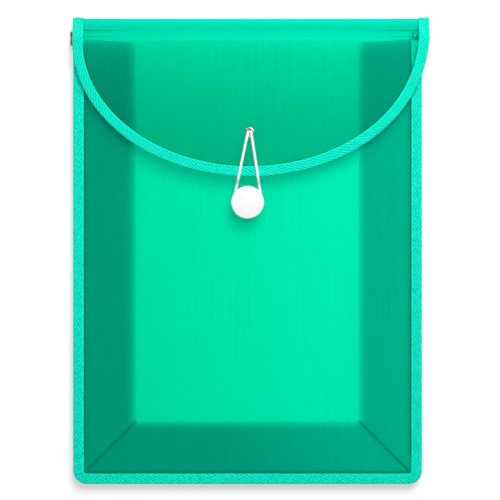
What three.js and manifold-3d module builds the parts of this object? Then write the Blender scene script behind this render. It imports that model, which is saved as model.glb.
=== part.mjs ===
// A document wallet that loads from the top: two clear plastic panels joined by a V-folded gusset,
// a creased spine that turns into a half-oval flap, woven tape over every edge, and an elastic loop
// that runs from an eyelet in the flap round a grooved button on the front.
// Millimetres. The wallet lies on its back: +X right, +Y towards the fold, +Z out of the front.
import * as THREE from "three";
import Module from "manifold-3d";
import { mergeVertices } from "three/addons/utils/BufferGeometryUtils.js";

// Body outline, measured up from the bottom edge
const bodyWidth = 250;
const bodyCorner = 9.6;
const foldHeight = 334;
const mouthDrop = 16; // from the top of the fold down to the front panel's free edge

// Sheet and tape
const sheetThick = 0.6;
const gussetThick = 0.4;
const tapeThick = 0.45;
const tapeWidth = 7.5;
const seatGap = 0.1;
const tapeSlack = 0.5; // between the back of the tape and the edge of the sheet inside it
const hemInset = 0.5; // from the inner edge of the tape to the edge of the gusset hem inside it

// Gusset
const pocketDepth = 5; // between the two fold lines along the tapes, lying empty
const gussetDepth = 37;
const gussetRootGap = 0.3;
const gussetTipGap = 0.3; // between the two leaves at their inner fold
const mitreGap = 0.25;
const mitreChamfer = 1.6;
const gussetTopDrop = 8;
const gussetTopGap = 1;

// Spine, flap and creases
const backCreaseDrop = 8.2; // from the top of the fold down to the crease, lying closed
const flapCreaseDrop = 14.4;
const creaseGap = 0.3;
const tapeCreaseGap = 0.9;
const creaseGroove = 0.25;
const creaseHalf = 0.5;
const foldRadius = 0.8;
const foldTapeClear = 0.15;
const foldTapeWall = 0.75;
const foldSheetGap = 0.2;
const foldTapeGap = 0.3;
const flapOverhang = 2.2; // how far the flap stands out past the body on each side
const flapStraight = 16;
const flapDepth = 113.7;
const flapShift = 1.4;

// Metal clips on the top ends of the back tape
const clipThick = 0.4;
const clipLength = 9.6;
const clipJaw = 6.5;
const clipProud = 2.8;
const clipTopGap = 0.2;

// Eyelet and its washer
const eyeletDrop = 82;
const eyeletFlange = 3.6;
const eyeletBore = 2.2;
const eyeletWall = 0.3;
const eyeletLip = 0.25;
const eyeletLipReach = 0.55;
const flangeThick = 0.35;
const washerOuter = 3.6;
const washerThick = 0.3;

// Button on the front panel
const buttonGap = 6.65; // from the flap's lowest edge down to the rim of the cap
const capRadius = 11.75;
const capEdge = 0.9;
const capDome = 0.7;
const spacerRadius = 8.9;
const spacerThick = 2.8;
const postRadius = 2.4;
const lockRadius = 5.5;
const lockThick = 0.9;
const postTail = 0.3;

// Elastic cord
const cordRadius = 1;
const cordClear = 0.15;
const cordSpread = 1.05;
const cordStartBack = 0.5;
const cordStartAngle = 50;
const cordBend = 4;
const cordDrop = 8.6;
const knotRadius = 3;
const knotThick = 2;
const knotGap = 0.1;
const knotClear = 0.25; // between the knot and the front panel
const stubGap = 0.3;

// Smoothness
const arcSteps = 8;
const ovalSteps = 44;
const roundSteps = 48;
const smallRoundSteps = 32;
const domeSteps = 4;
const cordSides = 8;
const cordSteps = 76;
const wrapSteps = 10;
const knotSides = 20;
const knotRings = 12;

// Sizes that follow from the ones above
const sheetInset = tapeThick + tapeSlack; // from the outer edge of a tape to the edge of its sheet
const foldTapeBore = foldRadius + foldTapeClear;
const foldTapeRadius = foldTapeBore + foldTapeWall;
const flapHalf = bodyWidth / 2 + flapOverhang;
const capThick = 2 * capEdge + capDome;
const knotDrop = 2 * seatGap + washerThick + eyeletLip + knotGap; // from the flap down to the knot
const flapRoom = knotDrop + knotThick + knotClear; // between the flap and the front panel

// Levels, worked out upwards from the surface that the wallet lies on
const edgeHalf = tapeThick + (sheetThick + gussetThick + 3 * seatGap) / 2;
const flapEdgeHalf = tapeThick + sheetThick / 2 + seatGap;
const backMid = clipThick + seatGap + edgeHalf;
const backSheetLow = backMid - edgeHalf + tapeThick + seatGap;
const backSheetMid = backSheetLow + sheetThick / 2;
const backHemLow = backSheetLow + sheetThick + seatGap;
const backPivotZ = backHemLow + gussetThick / 2;
const frontPivotZ = backPivotZ + pocketDepth;
const frontHemLow = frontPivotZ - gussetThick / 2;
const frontSheetLow = frontHemLow + gussetThick + seatGap;
const frontSheetTop = frontSheetLow + sheetThick;
const frontMid = frontSheetTop + seatGap + tapeThick - edgeHalf;
const flapLow = frontSheetTop + flapRoom;
const flapMid = flapLow + sheetThick / 2;
const cordRun = flapMid + flapEdgeHalf + cordRadius + cordClear;
const grooveZ = frontSheetTop + seatGap + spacerThick / 2;

// Lines and centres seen from the front
const ridgeY = foldHeight - foldRadius;
const backCreaseY = foldHeight - backCreaseDrop;
const flapCreaseY = foldHeight - flapCreaseDrop;
const mouthY = foldHeight - mouthDrop;
const ovalY = foldHeight - flapStraight;
const ovalHeight = flapDepth - flapStraight;
const pivotX = bodyWidth / 2 - tapeWidth - gussetRootGap;
const pivotY = tapeWidth + gussetRootGap;
const eyeletAt = new THREE.Vector2(flapShift, foldHeight - eyeletDrop);
const buttonAt = new THREE.Vector2(0, foldHeight - flapDepth - buttonGap - capRadius);

// The spine at rest: two slopes that meet at the fold, equally steep
const spineRise = flapMid - backSheetMid;
const backRun = ridgeY - backCreaseY;
const frontRun = ridgeY - flapCreaseY;
const spineSlope = Math.atan2(spineRise, backRun + frontRun);
const ridgeZ = backSheetMid + backRun * Math.tan(spineSlope);
const backSlant = backRun / Math.cos(spineSlope);
const frontSlant = frontRun / Math.cos(spineSlope);

const gussetAngle = Math.asin(
  (pocketDepth - gussetThick - gussetTipGap) / (2 * gussetDepth),
);

const clearGreen = { color: 0x00d89e, roughness: 0.45 };
const gussetGreen = { color: 0x00b184, roughness: 0.5 };
const tapeGreen = { color: 0x0fdcb0, roughness: 0.85 };
const whitePlastic = { color: 0xf4f4f2, roughness: 0.3 };
const whiteElastic = { color: 0xf6f6f6, roughness: 0.9 };
const nickel = { color: 0xb9b2a8, roughness: 0.25, metalness: 1 };

const wasm = await Module();
wasm.setup();

const wallet = new THREE.Group();
wallet.position.y = -foldHeight / 2;

// Adds a named piece with its own material to a group.
function addPiece(name, geometry, look, parent = wallet) {
  const mesh = new THREE.Mesh(geometry, new THREE.MeshStandardMaterial(look));
  mesh.name = name;
  parent.add(mesh);
  return mesh;
}

// A group placed at a point and turned about one axis.
function turned(x, y, z, axis, angle) {
  const group = new THREE.Group();
  group.position.set(x, y, z);
  group.rotation[axis] = angle;
  wallet.add(group);
  return group;
}

// A closed geometry as a solid that can be joined and cut.
function solidOf(geometry) {
  const bare = geometry.index ? geometry.toNonIndexed() : geometry.clone();
  bare.deleteAttribute("normal");
  bare.deleteAttribute("uv");
  const merged = mergeVertices(bare, 1e-4);
  return new wasm.Manifold(
    new wasm.Mesh({
      numProp: 3,
      vertProperties: merged.attributes.position.array,
      triVerts: new Uint32Array(merged.index.array),
    }),
  );
}

// A solid's surface as a geometry.
function geometryOf(solid) {
  const { vertProperties, triVerts } = solid.getMesh();
  return new THREE.BufferGeometry()
    .setAttribute("position", new THREE.BufferAttribute(vertProperties, 3))
    .setIndex(new THREE.BufferAttribute(triVerts, 1));
}

function join(...geometries) {
  return geometryOf(geometries.map(solidOf).reduce((sum, solid) => sum.add(solid)));
}

function cut(geometry, ...cutters) {
  const whole = solidOf(geometry);
  return geometryOf(cutters.map(solidOf).reduce((rest, cutter) => rest.subtract(cutter), whole));
}

// A flat sheet: an outline seen from the front, raised from one level.
function plate(shape, low, thick) {
  return new THREE.ExtrudeGeometry(shape, {
    depth: thick,
    bevelEnabled: false,
    curveSegments: arcSteps,
  }).translate(0, 0, low);
}

// A ring or disc about an upright axis, from a closed profile of [radius, height] corners.
function turnedRound(profile, centre, base, steps = roundSteps) {
  const corners = profile.map(([radius, height]) => new THREE.Vector2(radius, height));
  return new THREE.LatheGeometry(corners, steps)
    .rotateX(Math.PI / 2)
    .translate(centre.x, centre.y, base);
}

// Corners of an arc, in steps, from one angle to another in degrees.
function arc(x, y, radius, from, to, steps = arcSteps) {
  return Array.from({ length: steps + 1 }, (_, i) => {
    const angle = THREE.MathUtils.degToRad(from + ((to - from) * i) / steps);
    return [x + radius * Math.cos(angle), y + radius * Math.sin(angle)];
  });
}

// Corners of a shallow dome, from inside its rim to its centre.
function dome(rim, low, rise) {
  return Array.from({ length: domeSteps }, (_, i) => {
    const share = 1 - (i + 1) / domeSteps;
    return [rim * share, low + rise * (1 - share * share)];
  });
}

// Evenly spaced numbers from one value up to another, which is left out.
function spread(from, to, count) {
  return Array.from({ length: count }, (_, i) => from + ((to - from) * i) / count);
}

// Gives each point of a route its unit normal on the left of the way it runs.
function withNormals(route) {
  return route.map(([x, y], i) => {
    const before = route[Math.max(i - 1, 0)];
    const after = route[Math.min(i + 1, route.length - 1)];
    const way = new THREE.Vector2(after[0] - before[0], after[1] - before[1]).normalize();
    return { x, y, nx: -way.y, ny: way.x };
  });
}

// Carries a closed section along a route: each corner is [distance in from the route, height].
function sweep(route, section, mid = 0) {
  const size = section.length;
  const points = withNormals(route).flatMap((p) =>
    section.flatMap(([u, w]) => [p.x + p.nx * u, p.y + p.ny * u, mid + w]),
  );
  const faces = [];
  for (let i = 0; i < route.length - 1; i++) {
    for (let j = 0; j < size; j++) {
      const a = i * size + j;
      const b = i * size + ((j + 1) % size);
      faces.push(a, b, b + size, a, b + size, a + size);
    }
  }
  const last = (route.length - 1) * size;
  const flat = section.map(([u, w]) => new THREE.Vector2(u, w));
  for (const [a, b, c] of THREE.ShapeUtils.triangulateShape(flat, [])) {
    faces.push(c, b, a, last + a, last + b, last + c);
  }
  return new THREE.BufferGeometry()
    .setAttribute("position", new THREE.Float32BufferAttribute(points, 3))
    .setIndex(faces);
}

// Section of a tape folded over an edge: two legs and a round back.
function tapeSection(half, width = tapeWidth, thick = tapeThick, back = 0) {
  const inner = half - thick;
  return [
    [width, half],
    ...arc(half + back, 0, half, 90, 270),
    [width, -half],
    [width, -inner],
    ...arc(half + back, 0, inner, 270, 90, arcSteps / 2),
    [width, inner],
  ];
}

// The U that a panel's tape follows: down the left, round both corners and up the right.
function bodyRoute(topY) {
  const edge = bodyWidth / 2;
  return [
    [-edge, topY],
    ...arc(bodyCorner - edge, bodyCorner, bodyCorner, 180, 270),
    ...arc(edge - bodyCorner, bodyCorner, bodyCorner, 270, 360),
    [edge, topY],
  ];
}

// A panel's outline, held back from the edge of its tape.
function panelShape(topY) {
  const edge = bodyWidth / 2 - sheetInset;
  const radius = bodyCorner - sheetInset;
  const shape = new THREE.Shape();
  shape.moveTo(-edge, topY);
  shape.lineTo(-edge, sheetInset + radius);
  shape.absarc(radius - edge, sheetInset + radius, radius, Math.PI, 1.5 * Math.PI);
  shape.absarc(edge - radius, sheetInset + radius, radius, 1.5 * Math.PI, 2 * Math.PI);
  shape.lineTo(edge, topY);
  shape.closePath();
  return shape;
}

// Cuts a round hole in a flat outline.
function pierce(shape, centre, radius) {
  const hole = new THREE.Path();
  hole.absarc(centre.x, centre.y, radius, 0, 2 * Math.PI, true);
  shape.holes.push(hole);
  return shape;
}

function addPanels() {
  const backShape = panelShape(backCreaseY - creaseGap);
  addPiece("back_panel", plate(backShape, backSheetLow, sheetThick), clearGreen);
  const frontShape = pierce(panelShape(mouthY), buttonAt, postRadius + seatGap);
  addPiece("front_panel", plate(frontShape, frontSheetLow, sheetThick), clearGreen);
}

function addBodyTapes() {
  const section = tapeSection(edgeHalf);
  const backTop = backCreaseY - tapeCreaseGap;
  addPiece("back_binding", sweep(bodyRoute(backTop), section, backMid), tapeGreen);
  addPiece("front_binding", sweep(bodyRoute(mouthY), section, frontMid), tapeGreen);
}

// The flat hems of the gusset strip that are held inside the tapes.
function addGussetHems() {
  const far = tapeWidth - hemInset;
  const hem = [
    [sheetInset, 0],
    [far, 0],
    [far, gussetThick],
    [sheetInset, gussetThick],
  ];
  const route = bodyRoute(mouthY - gussetTopGap);
  addPiece("back_gusset_hem", sweep(route, hem, backHemLow), gussetGreen);
  addPiece("front_gusset_hem", sweep(route, hem, frontHemLow), gussetGreen);
}

// One gusset leaf lying flat: x runs from its hinge line to its inner fold, y along the edge.
function leafGeometry(corners) {
  const shape = new THREE.Shape(corners.map(([x, y]) => new THREE.Vector2(x, y)));
  return plate(shape, -gussetThick / 2, gussetThick);
}

// The side leaves stand on the left and right tapes, mitred at the bottom corner.
function addSideLeaves() {
  const reach = gussetDepth * Math.cos(gussetAngle);
  const top = mouthY - gussetTopGap - pivotY;
  const outline = [
    [0, mitreChamfer + mitreGap],
    [mitreChamfer / Math.cos(gussetAngle), mitreChamfer + mitreGap],
    [gussetDepth, reach + mitreGap],
    [gussetDepth, top - gussetTopDrop],
    [0, top],
  ];
  const mirrored = outline.map(([x, y]) => [-x, y]).reverse();
  const sides = [
    ["left", -pivotX, outline, 1],
    ["right", pivotX, mirrored, -1],
  ];
  for (const [side, x, corners, sign] of sides) {
    const back = turned(x, pivotY, backPivotZ, "y", -sign * gussetAngle);
    addPiece(side + "_gusset_back_leaf", leafGeometry(corners), gussetGreen, back);
    const front = turned(x, pivotY, frontPivotZ, "y", sign * gussetAngle);
    addPiece(side + "_gusset_front_leaf", leafGeometry(corners), gussetGreen, front);
  }
}

// The bottom leaves stand on the bottom tape between the two mitres.
function addBottomLeaves() {
  const reach = gussetDepth * Math.cos(gussetAngle);
  const root = pivotX - mitreChamfer - mitreGap;
  const tip = pivotX - reach - mitreGap;
  const shoulder = mitreChamfer / Math.cos(gussetAngle);
  const outline = [
    [-root, 0],
    [root, 0],
    [root, shoulder],
    [tip, gussetDepth],
    [-tip, gussetDepth],
    [-root, shoulder],
  ];
  const back = turned(0, pivotY, backPivotZ, "x", gussetAngle);
  addPiece("bottom_gusset_back_leaf", leafGeometry(outline), gussetGreen, back);
  const front = turned(0, pivotY, frontPivotZ, "x", -gussetAngle);
  addPiece("bottom_gusset_front_leaf", leafGeometry(outline), gussetGreen, front);
}

// A strip of the spine: its section along its length, with a pressed groove, drawn out sideways.
// Its corners at the fold are cut back to clear the tape round the fold.
function spineSheet(from, to, groove) {
  const half = sheetThick / 2;
  const section = [
    [from, -half],
    [to, -half],
    [to, half],
    [groove + creaseHalf, half],
    [groove, half - creaseGroove],
    [groove - creaseHalf, half],
    [from, half],
  ];
  const shape = new THREE.Shape(section.map(([y, z]) => new THREE.Vector2(y, z)));
  const width = 2 * (flapHalf - sheetInset);
  const strip = new THREE.ExtrudeGeometry(shape, { depth: width, bevelEnabled: false })
    .rotateY(Math.PI / 2)
    .rotateX(Math.PI / 2)
    .translate(flapShift - width / 2, 0, 0);
  const depth = foldTapeRadius + foldTapeGap - foldRadius - foldSheetGap;
  const corners = [-1, 1].map((side) =>
    new THREE.BoxGeometry(2 * (tapeWidth + foldTapeGap), 2 * depth, 2 * sheetThick)
      .translate(flapShift + side * flapHalf, to, 0),
  );
  return cut(strip, ...corners);
}

// Tapes on both ends of a spine strip, running from one distance to another along it.
function addStripTapes(name, group, from, to) {
  const section = tapeSection(flapEdgeHalf);
  const left = [
    [flapShift - flapHalf, to],
    [flapShift - flapHalf, from],
  ];
  const right = [
    [flapShift + flapHalf, from],
    [flapShift + flapHalf, to],
  ];
  addPiece(name + "_left_tape", sweep(left, section), tapeGreen, group);
  addPiece(name + "_right_tape", sweep(right, section), tapeGreen, group);
}

// The spine's back strip climbs from the back panel's crease to the fold.
function addBackStrip() {
  const group = turned(0, backCreaseY, backSheetMid, "x", spineSlope);
  const end = backSlant - foldRadius - foldSheetGap;
  const strip = spineSheet(creaseGap, end, backSlant / 2);
  addPiece("spine_back_strip", strip, clearGreen, group);
  addStripTapes("spine_back", group, tapeCreaseGap, backSlant - foldTapeRadius - foldTapeGap);
}

// The spine's front strip falls from the fold to the flap's crease.
function addFrontStrip() {
  const group = turned(0, flapCreaseY, flapMid, "x", -spineSlope);
  const end = frontSlant - foldRadius - foldSheetGap;
  const strip = spineSheet(creaseGap, end, frontSlant / 2);
  addPiece("spine_front_strip", strip, clearGreen, group);
  addStripTapes("spine_front", group, tapeCreaseGap, frontSlant - foldTapeRadius - foldTapeGap);
}

// The rounded fold at the top, which runs on inside the tape at both ends.
function addFold() {
  const length = 2 * (flapHalf - seatGap);
  const bead = new THREE.CylinderGeometry(foldRadius, foldRadius, length, 2 * arcSteps)
    .rotateZ(Math.PI / 2)
    .translate(flapShift, ridgeY, ridgeZ);
  addPiece("fold_ridge", bead, clearGreen);
  const wall = [
    [foldTapeBore, 0],
    [foldTapeRadius, 0],
    [foldTapeRadius, tapeWidth],
    [foldTapeBore, tapeWidth],
    [foldTapeBore, 0],
  ].map(([radius, height]) => new THREE.Vector2(radius, height));
  for (const side of ["left", "right"]) {
    const start = side === "left" ? -flapHalf : flapHalf - tapeWidth;
    const tube = new THREE.LatheGeometry(wall, 2 * arcSteps)
      .rotateZ(-Math.PI / 2)
      .translate(flapShift + start, ridgeY, ridgeZ);
    addPiece("fold_" + side + "_tape", tube, tapeGreen);
  }
}

// Edge of the flap from its crease round the half oval: straight sides, then half an ellipse.
function flapRoute(topY, inset) {
  const halfWidth = flapHalf - inset;
  const height = ovalHeight - inset;
  const oval = Array.from({ length: ovalSteps + 1 }, (_, i) => {
    const angle = Math.PI + (Math.PI * i) / ovalSteps;
    return [flapShift + halfWidth * Math.cos(angle), ovalY + height * Math.sin(angle)];
  });
  return [[flapShift - halfWidth, topY], ...oval, [flapShift + halfWidth, topY]];
}

function addFlap() {
  const edge = flapRoute(flapCreaseY - creaseGap, sheetInset);
  const shape = new THREE.Shape(edge.map(([x, y]) => new THREE.Vector2(x, y)));
  pierce(shape, eyeletAt, eyeletBore + eyeletWall + seatGap);
  addPiece("flap_panel", plate(shape, flapLow, sheetThick), clearGreen);
  const route = flapRoute(flapCreaseY - tapeCreaseGap, 0);
  addPiece("flap_binding", sweep(route, tapeSection(flapEdgeHalf), flapMid), tapeGreen);
}

// Metal clips crimped over the back tape just below the back crease.
function addClips() {
  const half = edgeHalf + seatGap + clipThick;
  const section = tapeSection(half, clipJaw, clipThick, -clipProud);
  const top = backCreaseY - tapeCreaseGap - clipTopGap;
  const edge = bodyWidth / 2;
  const left = [
    [-edge, top],
    [-edge, top - clipLength],
  ];
  const right = [
    [edge, top - clipLength],
    [edge, top],
  ];
  addPiece("left_tape_clip", sweep(left, section, backMid), nickel);
  addPiece("right_tape_clip", sweep(right, section, backMid), nickel);
}

// The eyelet: a flange on the outside, a barrel through the flap and a rolled lip behind the washer.
function addEyelet() {
  const barrel = eyeletBore + eyeletWall;
  const top = sheetThick + seatGap + flangeThick;
  const lip = -seatGap * 2 - washerThick;
  const profile = [
    [eyeletBore, lip - eyeletLip],
    [barrel + eyeletLipReach, lip - eyeletLip],
    [barrel + eyeletLipReach, lip],
    [barrel, lip],
    [barrel, top - flangeThick],
    [eyeletFlange, top - flangeThick],
    [eyeletFlange - flangeThick / 2, top],
    [eyeletBore, top],
    [eyeletBore, lip - eyeletLip],
  ];
  addPiece("eyelet", turnedRound(profile, eyeletAt, flapLow, smallRoundSteps), nickel);
  const inner = barrel + seatGap;
  const washer = [
    [inner, 0],
    [washerOuter, 0],
    [washerOuter, washerThick],
    [inner, washerThick],
    [inner, 0],
  ];
  const low = flapLow - seatGap - washerThick;
  addPiece("eyelet_washer", turnedRound(washer, eyeletAt, low, smallRoundSteps), nickel);
}

// The button: a domed cap with its post, a spacer that the elastic runs round, a lock washer inside.
function addButton() {
  const spacerLow = frontSheetTop + seatGap;
  const capLow = spacerLow + spacerThick + seatGap;
  const lockLow = frontSheetLow - seatGap - lockThick;
  const postLow = lockLow - postTail - capLow;
  const cap = [
    [0, postLow],
    [postRadius, postLow],
    [postRadius, 0],
    ...arc(capRadius - capEdge, capEdge, capEdge, -90, 90, 6),
    ...dome(capRadius - capEdge, capThick - capDome, capDome),
  ];
  addPiece("button_cap", turnedRound(cap, buttonAt, capLow), whitePlastic);
  const bore = postRadius + seatGap;
  const spacer = [
    [bore, 0],
    [spacerRadius, 0],
    [spacerRadius, spacerThick],
    [bore, spacerThick],
    [bore, 0],
  ];
  addPiece("button_spacer", turnedRound(spacer, buttonAt, spacerLow), whitePlastic);
  const lock = [
    [bore, 0],
    [lockRadius, 0],
    [lockRadius, lockThick],
    [bore, lockThick],
    [bore, 0],
  ];
  const lockWasher = turnedRound(lock, buttonAt, lockLow, smallRoundSteps);
  addPiece("button_lock_washer", lockWasher, whitePlastic);
}

// Height of the cord above its run, for a distance along one strand: it climbs out of the eyelet
// on an arc, runs level over the flap's tape and falls on two equal arcs to the button's groove.
function strandHeight(distance, climb, edge) {
  if (distance < climb) {
    const angle = Math.asin((climb - distance) / cordBend);
    return cordRun - cordBend * (1 - Math.cos(angle));
  }
  const part = THREE.MathUtils.clamp((distance - edge) / cordDrop, 0, 1);
  const fall = part < 0.5 ? 2 * part * part : 1 - 2 * (1 - part) * (1 - part);
  return THREE.MathUtils.lerp(cordRun, grooveZ, fall);
}

// One straight strand seen from the front, from the eyelet to where it touches the button's groove.
function strandPoints(side) {
  const start = new THREE.Vector2(eyeletAt.x + side * cordSpread, eyeletAt.y + cordStartBack);
  const wrap = spacerRadius + seatGap + cordRadius;
  const toButton = buttonAt.clone().sub(start);
  const length = Math.sqrt(toButton.lengthSq() - wrap * wrap);
  const swing = side * Math.asin(wrap / toButton.length());
  const way = toButton.normalize().rotateAround(new THREE.Vector2(0, 0), swing);
  const climb = cordBend * Math.sin(THREE.MathUtils.degToRad(cordStartAngle));
  const edge = flapDepth - eyeletDrop + cordStartBack;
  const bottom = edge + cordDrop;
  const stations = [
    ...spread(0, climb, 3),
    ...spread(climb, edge, 5),
    ...spread(edge, bottom, 4),
    bottom,
    length,
  ];
  return stations.map((distance) => {
    const at = way.clone().multiplyScalar(distance).add(start);
    return new THREE.Vector3(at.x, at.y, strandHeight(distance, climb, edge));
  });
}

// The whole loop: down one strand, round the far side of the button and back up the other.
function loopPoints() {
  const right = strandPoints(1);
  const left = strandPoints(-1);
  const wrap = spacerRadius + seatGap + cordRadius;
  const first = right[right.length - 1];
  const final = left[left.length - 1];
  const from = Math.atan2(first.y - buttonAt.y, first.x - buttonAt.x);
  const to = Math.atan2(final.y - buttonAt.y, final.x - buttonAt.x) - 2 * Math.PI;
  const round = Array.from({ length: wrapSteps - 1 }, (_, i) => {
    const angle = from + ((to - from) * (i + 1)) / wrapSteps;
    const x = buttonAt.x + wrap * Math.cos(angle);
    const y = buttonAt.y + wrap * Math.sin(angle);
    return new THREE.Vector3(x, y, grooveZ);
  });
  return [...right, ...round, ...left.reverse()];
}

function addElastic() {
  const circle = new THREE.Shape();
  arc(0, 0, cordRadius, 0, 360, cordSides).forEach(([x, y], i) =>
    i ? circle.lineTo(x, y) : circle.moveTo(x, y),
  );
  const loop = new THREE.ExtrudeGeometry(circle, {
    steps: cordSteps,
    extrudePath: new THREE.CatmullRomCurve3(loopPoints(), false, "centripetal"),
    bevelEnabled: false,
  });
  addPiece("elastic_loop", loop, whiteElastic);
  const knotMid = flapLow - knotDrop - knotThick / 2;
  const angle = THREE.MathUtils.degToRad(cordStartAngle);
  const startZ = cordRun - cordBend * (1 - Math.cos(angle));
  const stubTop = startZ - cordRadius * Math.cos(angle) - stubGap;
  const knot = new THREE.SphereGeometry(knotRadius, knotSides, knotRings)
    .rotateX(Math.PI / 2)
    .scale(1, 1, knotThick / 2 / knotRadius)
    .translate(eyeletAt.x, eyeletAt.y, knotMid);
  const stubs = [-1, 1].map((side) =>
    new THREE.CylinderGeometry(cordRadius, cordRadius, stubTop - knotMid, cordSides)
      .rotateX(Math.PI / 2)
      .translate(eyeletAt.x + side * cordSpread, eyeletAt.y, (stubTop + knotMid) / 2),
  );
  addPiece("elastic_knot", join(knot, ...stubs), whiteElastic);
}

addPanels();
addBodyTapes();
addGussetHems();
addSideLeaves();
addBottomLeaves();
addBackStrip();
addFrontStrip();
addFold();
addFlap();
addClips();
addEyelet();
addButton();
addElastic();

const part = new THREE.Group();
part.add(wallet);
export default part;
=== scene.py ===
"""A translucent document wallet with woven edge tape, a half-oval flap and an elastic closure.

Sizes are in millimetres until they reach a mesh, and +X is right, +Y towards the fold, +Z out of
the front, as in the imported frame.
"""

import logging
import math
from collections.abc import Callable, Sequence
from dataclasses import dataclass, field
from enum import Enum

import bpy
import numpy as np
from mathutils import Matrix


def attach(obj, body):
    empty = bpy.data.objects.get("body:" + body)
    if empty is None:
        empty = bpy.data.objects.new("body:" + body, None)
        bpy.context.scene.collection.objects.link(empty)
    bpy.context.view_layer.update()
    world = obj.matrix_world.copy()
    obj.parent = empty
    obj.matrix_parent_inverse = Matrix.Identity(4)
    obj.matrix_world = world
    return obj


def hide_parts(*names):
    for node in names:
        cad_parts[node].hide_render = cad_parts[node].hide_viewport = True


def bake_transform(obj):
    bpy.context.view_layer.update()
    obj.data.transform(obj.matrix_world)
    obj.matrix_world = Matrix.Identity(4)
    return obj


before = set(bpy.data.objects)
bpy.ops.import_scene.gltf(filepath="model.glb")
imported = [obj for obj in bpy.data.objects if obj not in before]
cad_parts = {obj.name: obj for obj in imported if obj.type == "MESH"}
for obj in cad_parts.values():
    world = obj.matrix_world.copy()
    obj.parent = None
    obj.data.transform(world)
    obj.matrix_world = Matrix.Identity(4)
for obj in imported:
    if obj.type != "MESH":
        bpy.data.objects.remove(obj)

logging.basicConfig(level=logging.INFO, format="%(message)s")
LOG = logging.getLogger("wallet")
MM = 0.001
TURN = 2 * math.pi
SHARP_ANGLE = math.radians(38)
Colour = tuple[float, float, float]
Place = tuple[float, float, float]
Pair = tuple[float, float]


class Side(Enum):
    """Which side of the wallet a piece is on, as the sign of its X."""

    LEFT = -1
    RIGHT = 1


class Layer(Enum):
    """Which panel of the pocket a piece belongs to. The value is the name of its body."""

    BACK = "back"
    FRONT = "front"


class Slot(Enum):
    """What a piece is made of. The value is the record's material slot."""

    SHEET = "sheet_green"
    GUSSET = "gusset_green"
    TAPE = "tape_green"
    ELASTIC = "elastic_white"
    BUTTON = "button_white"
    METAL = "nickel"


class Signal:
    """A number socket in a material that takes part in Python sums."""

    def __init__(self, shader: "Shader", socket: bpy.types.NodeSocket) -> None:
        """Keeps the material's maker and the output that carries the number."""
        self.shader = shader
        self.socket = socket

    def _with(self, operation: str, *values: "Signal | float") -> "Signal":
        """The result of one Math node, from its operation and its inputs."""
        settings = {"operation": operation}
        return self.shader.value("ShaderNodeMath", 0, settings, dict(enumerate(values)))

    def __add__(self, other: "Signal | float") -> "Signal":
        """This number plus another."""
        return self._with("ADD", self, other)

    __radd__ = __add__

    def __sub__(self, other: "Signal | float") -> "Signal":
        """This number less another."""
        return self._with("SUBTRACT", self, other)

    def __rsub__(self, other: float) -> "Signal":
        """Another number less this one."""
        return self._with("SUBTRACT", other, self)

    def __mul__(self, other: "Signal | float") -> "Signal":
        """This number times another."""
        return self._with("MULTIPLY", self, other)

    __rmul__ = __mul__

    def sine(self) -> "Signal":
        """The sine of this number, as an angle in radians."""
        return self._with("SINE", self)

    def magnitude(self) -> "Signal":
        """This number without its sign."""
        return self._with("ABSOLUTE", self)

    def peak(self, other: "Signal | float") -> "Signal":
        """The larger of this number and another."""
        return self._with("MAXIMUM", self, other)

    def step(self, low: float, high: float) -> "Signal":
        """A smooth rise from 0 at low to 1 at high."""
        settings = {"interpolation_type": "SMOOTHSTEP"}
        inputs = {"Value": self, "From Min": low, "From Max": high}
        return self.shader.value("ShaderNodeMapRange", 0, settings, inputs)


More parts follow.
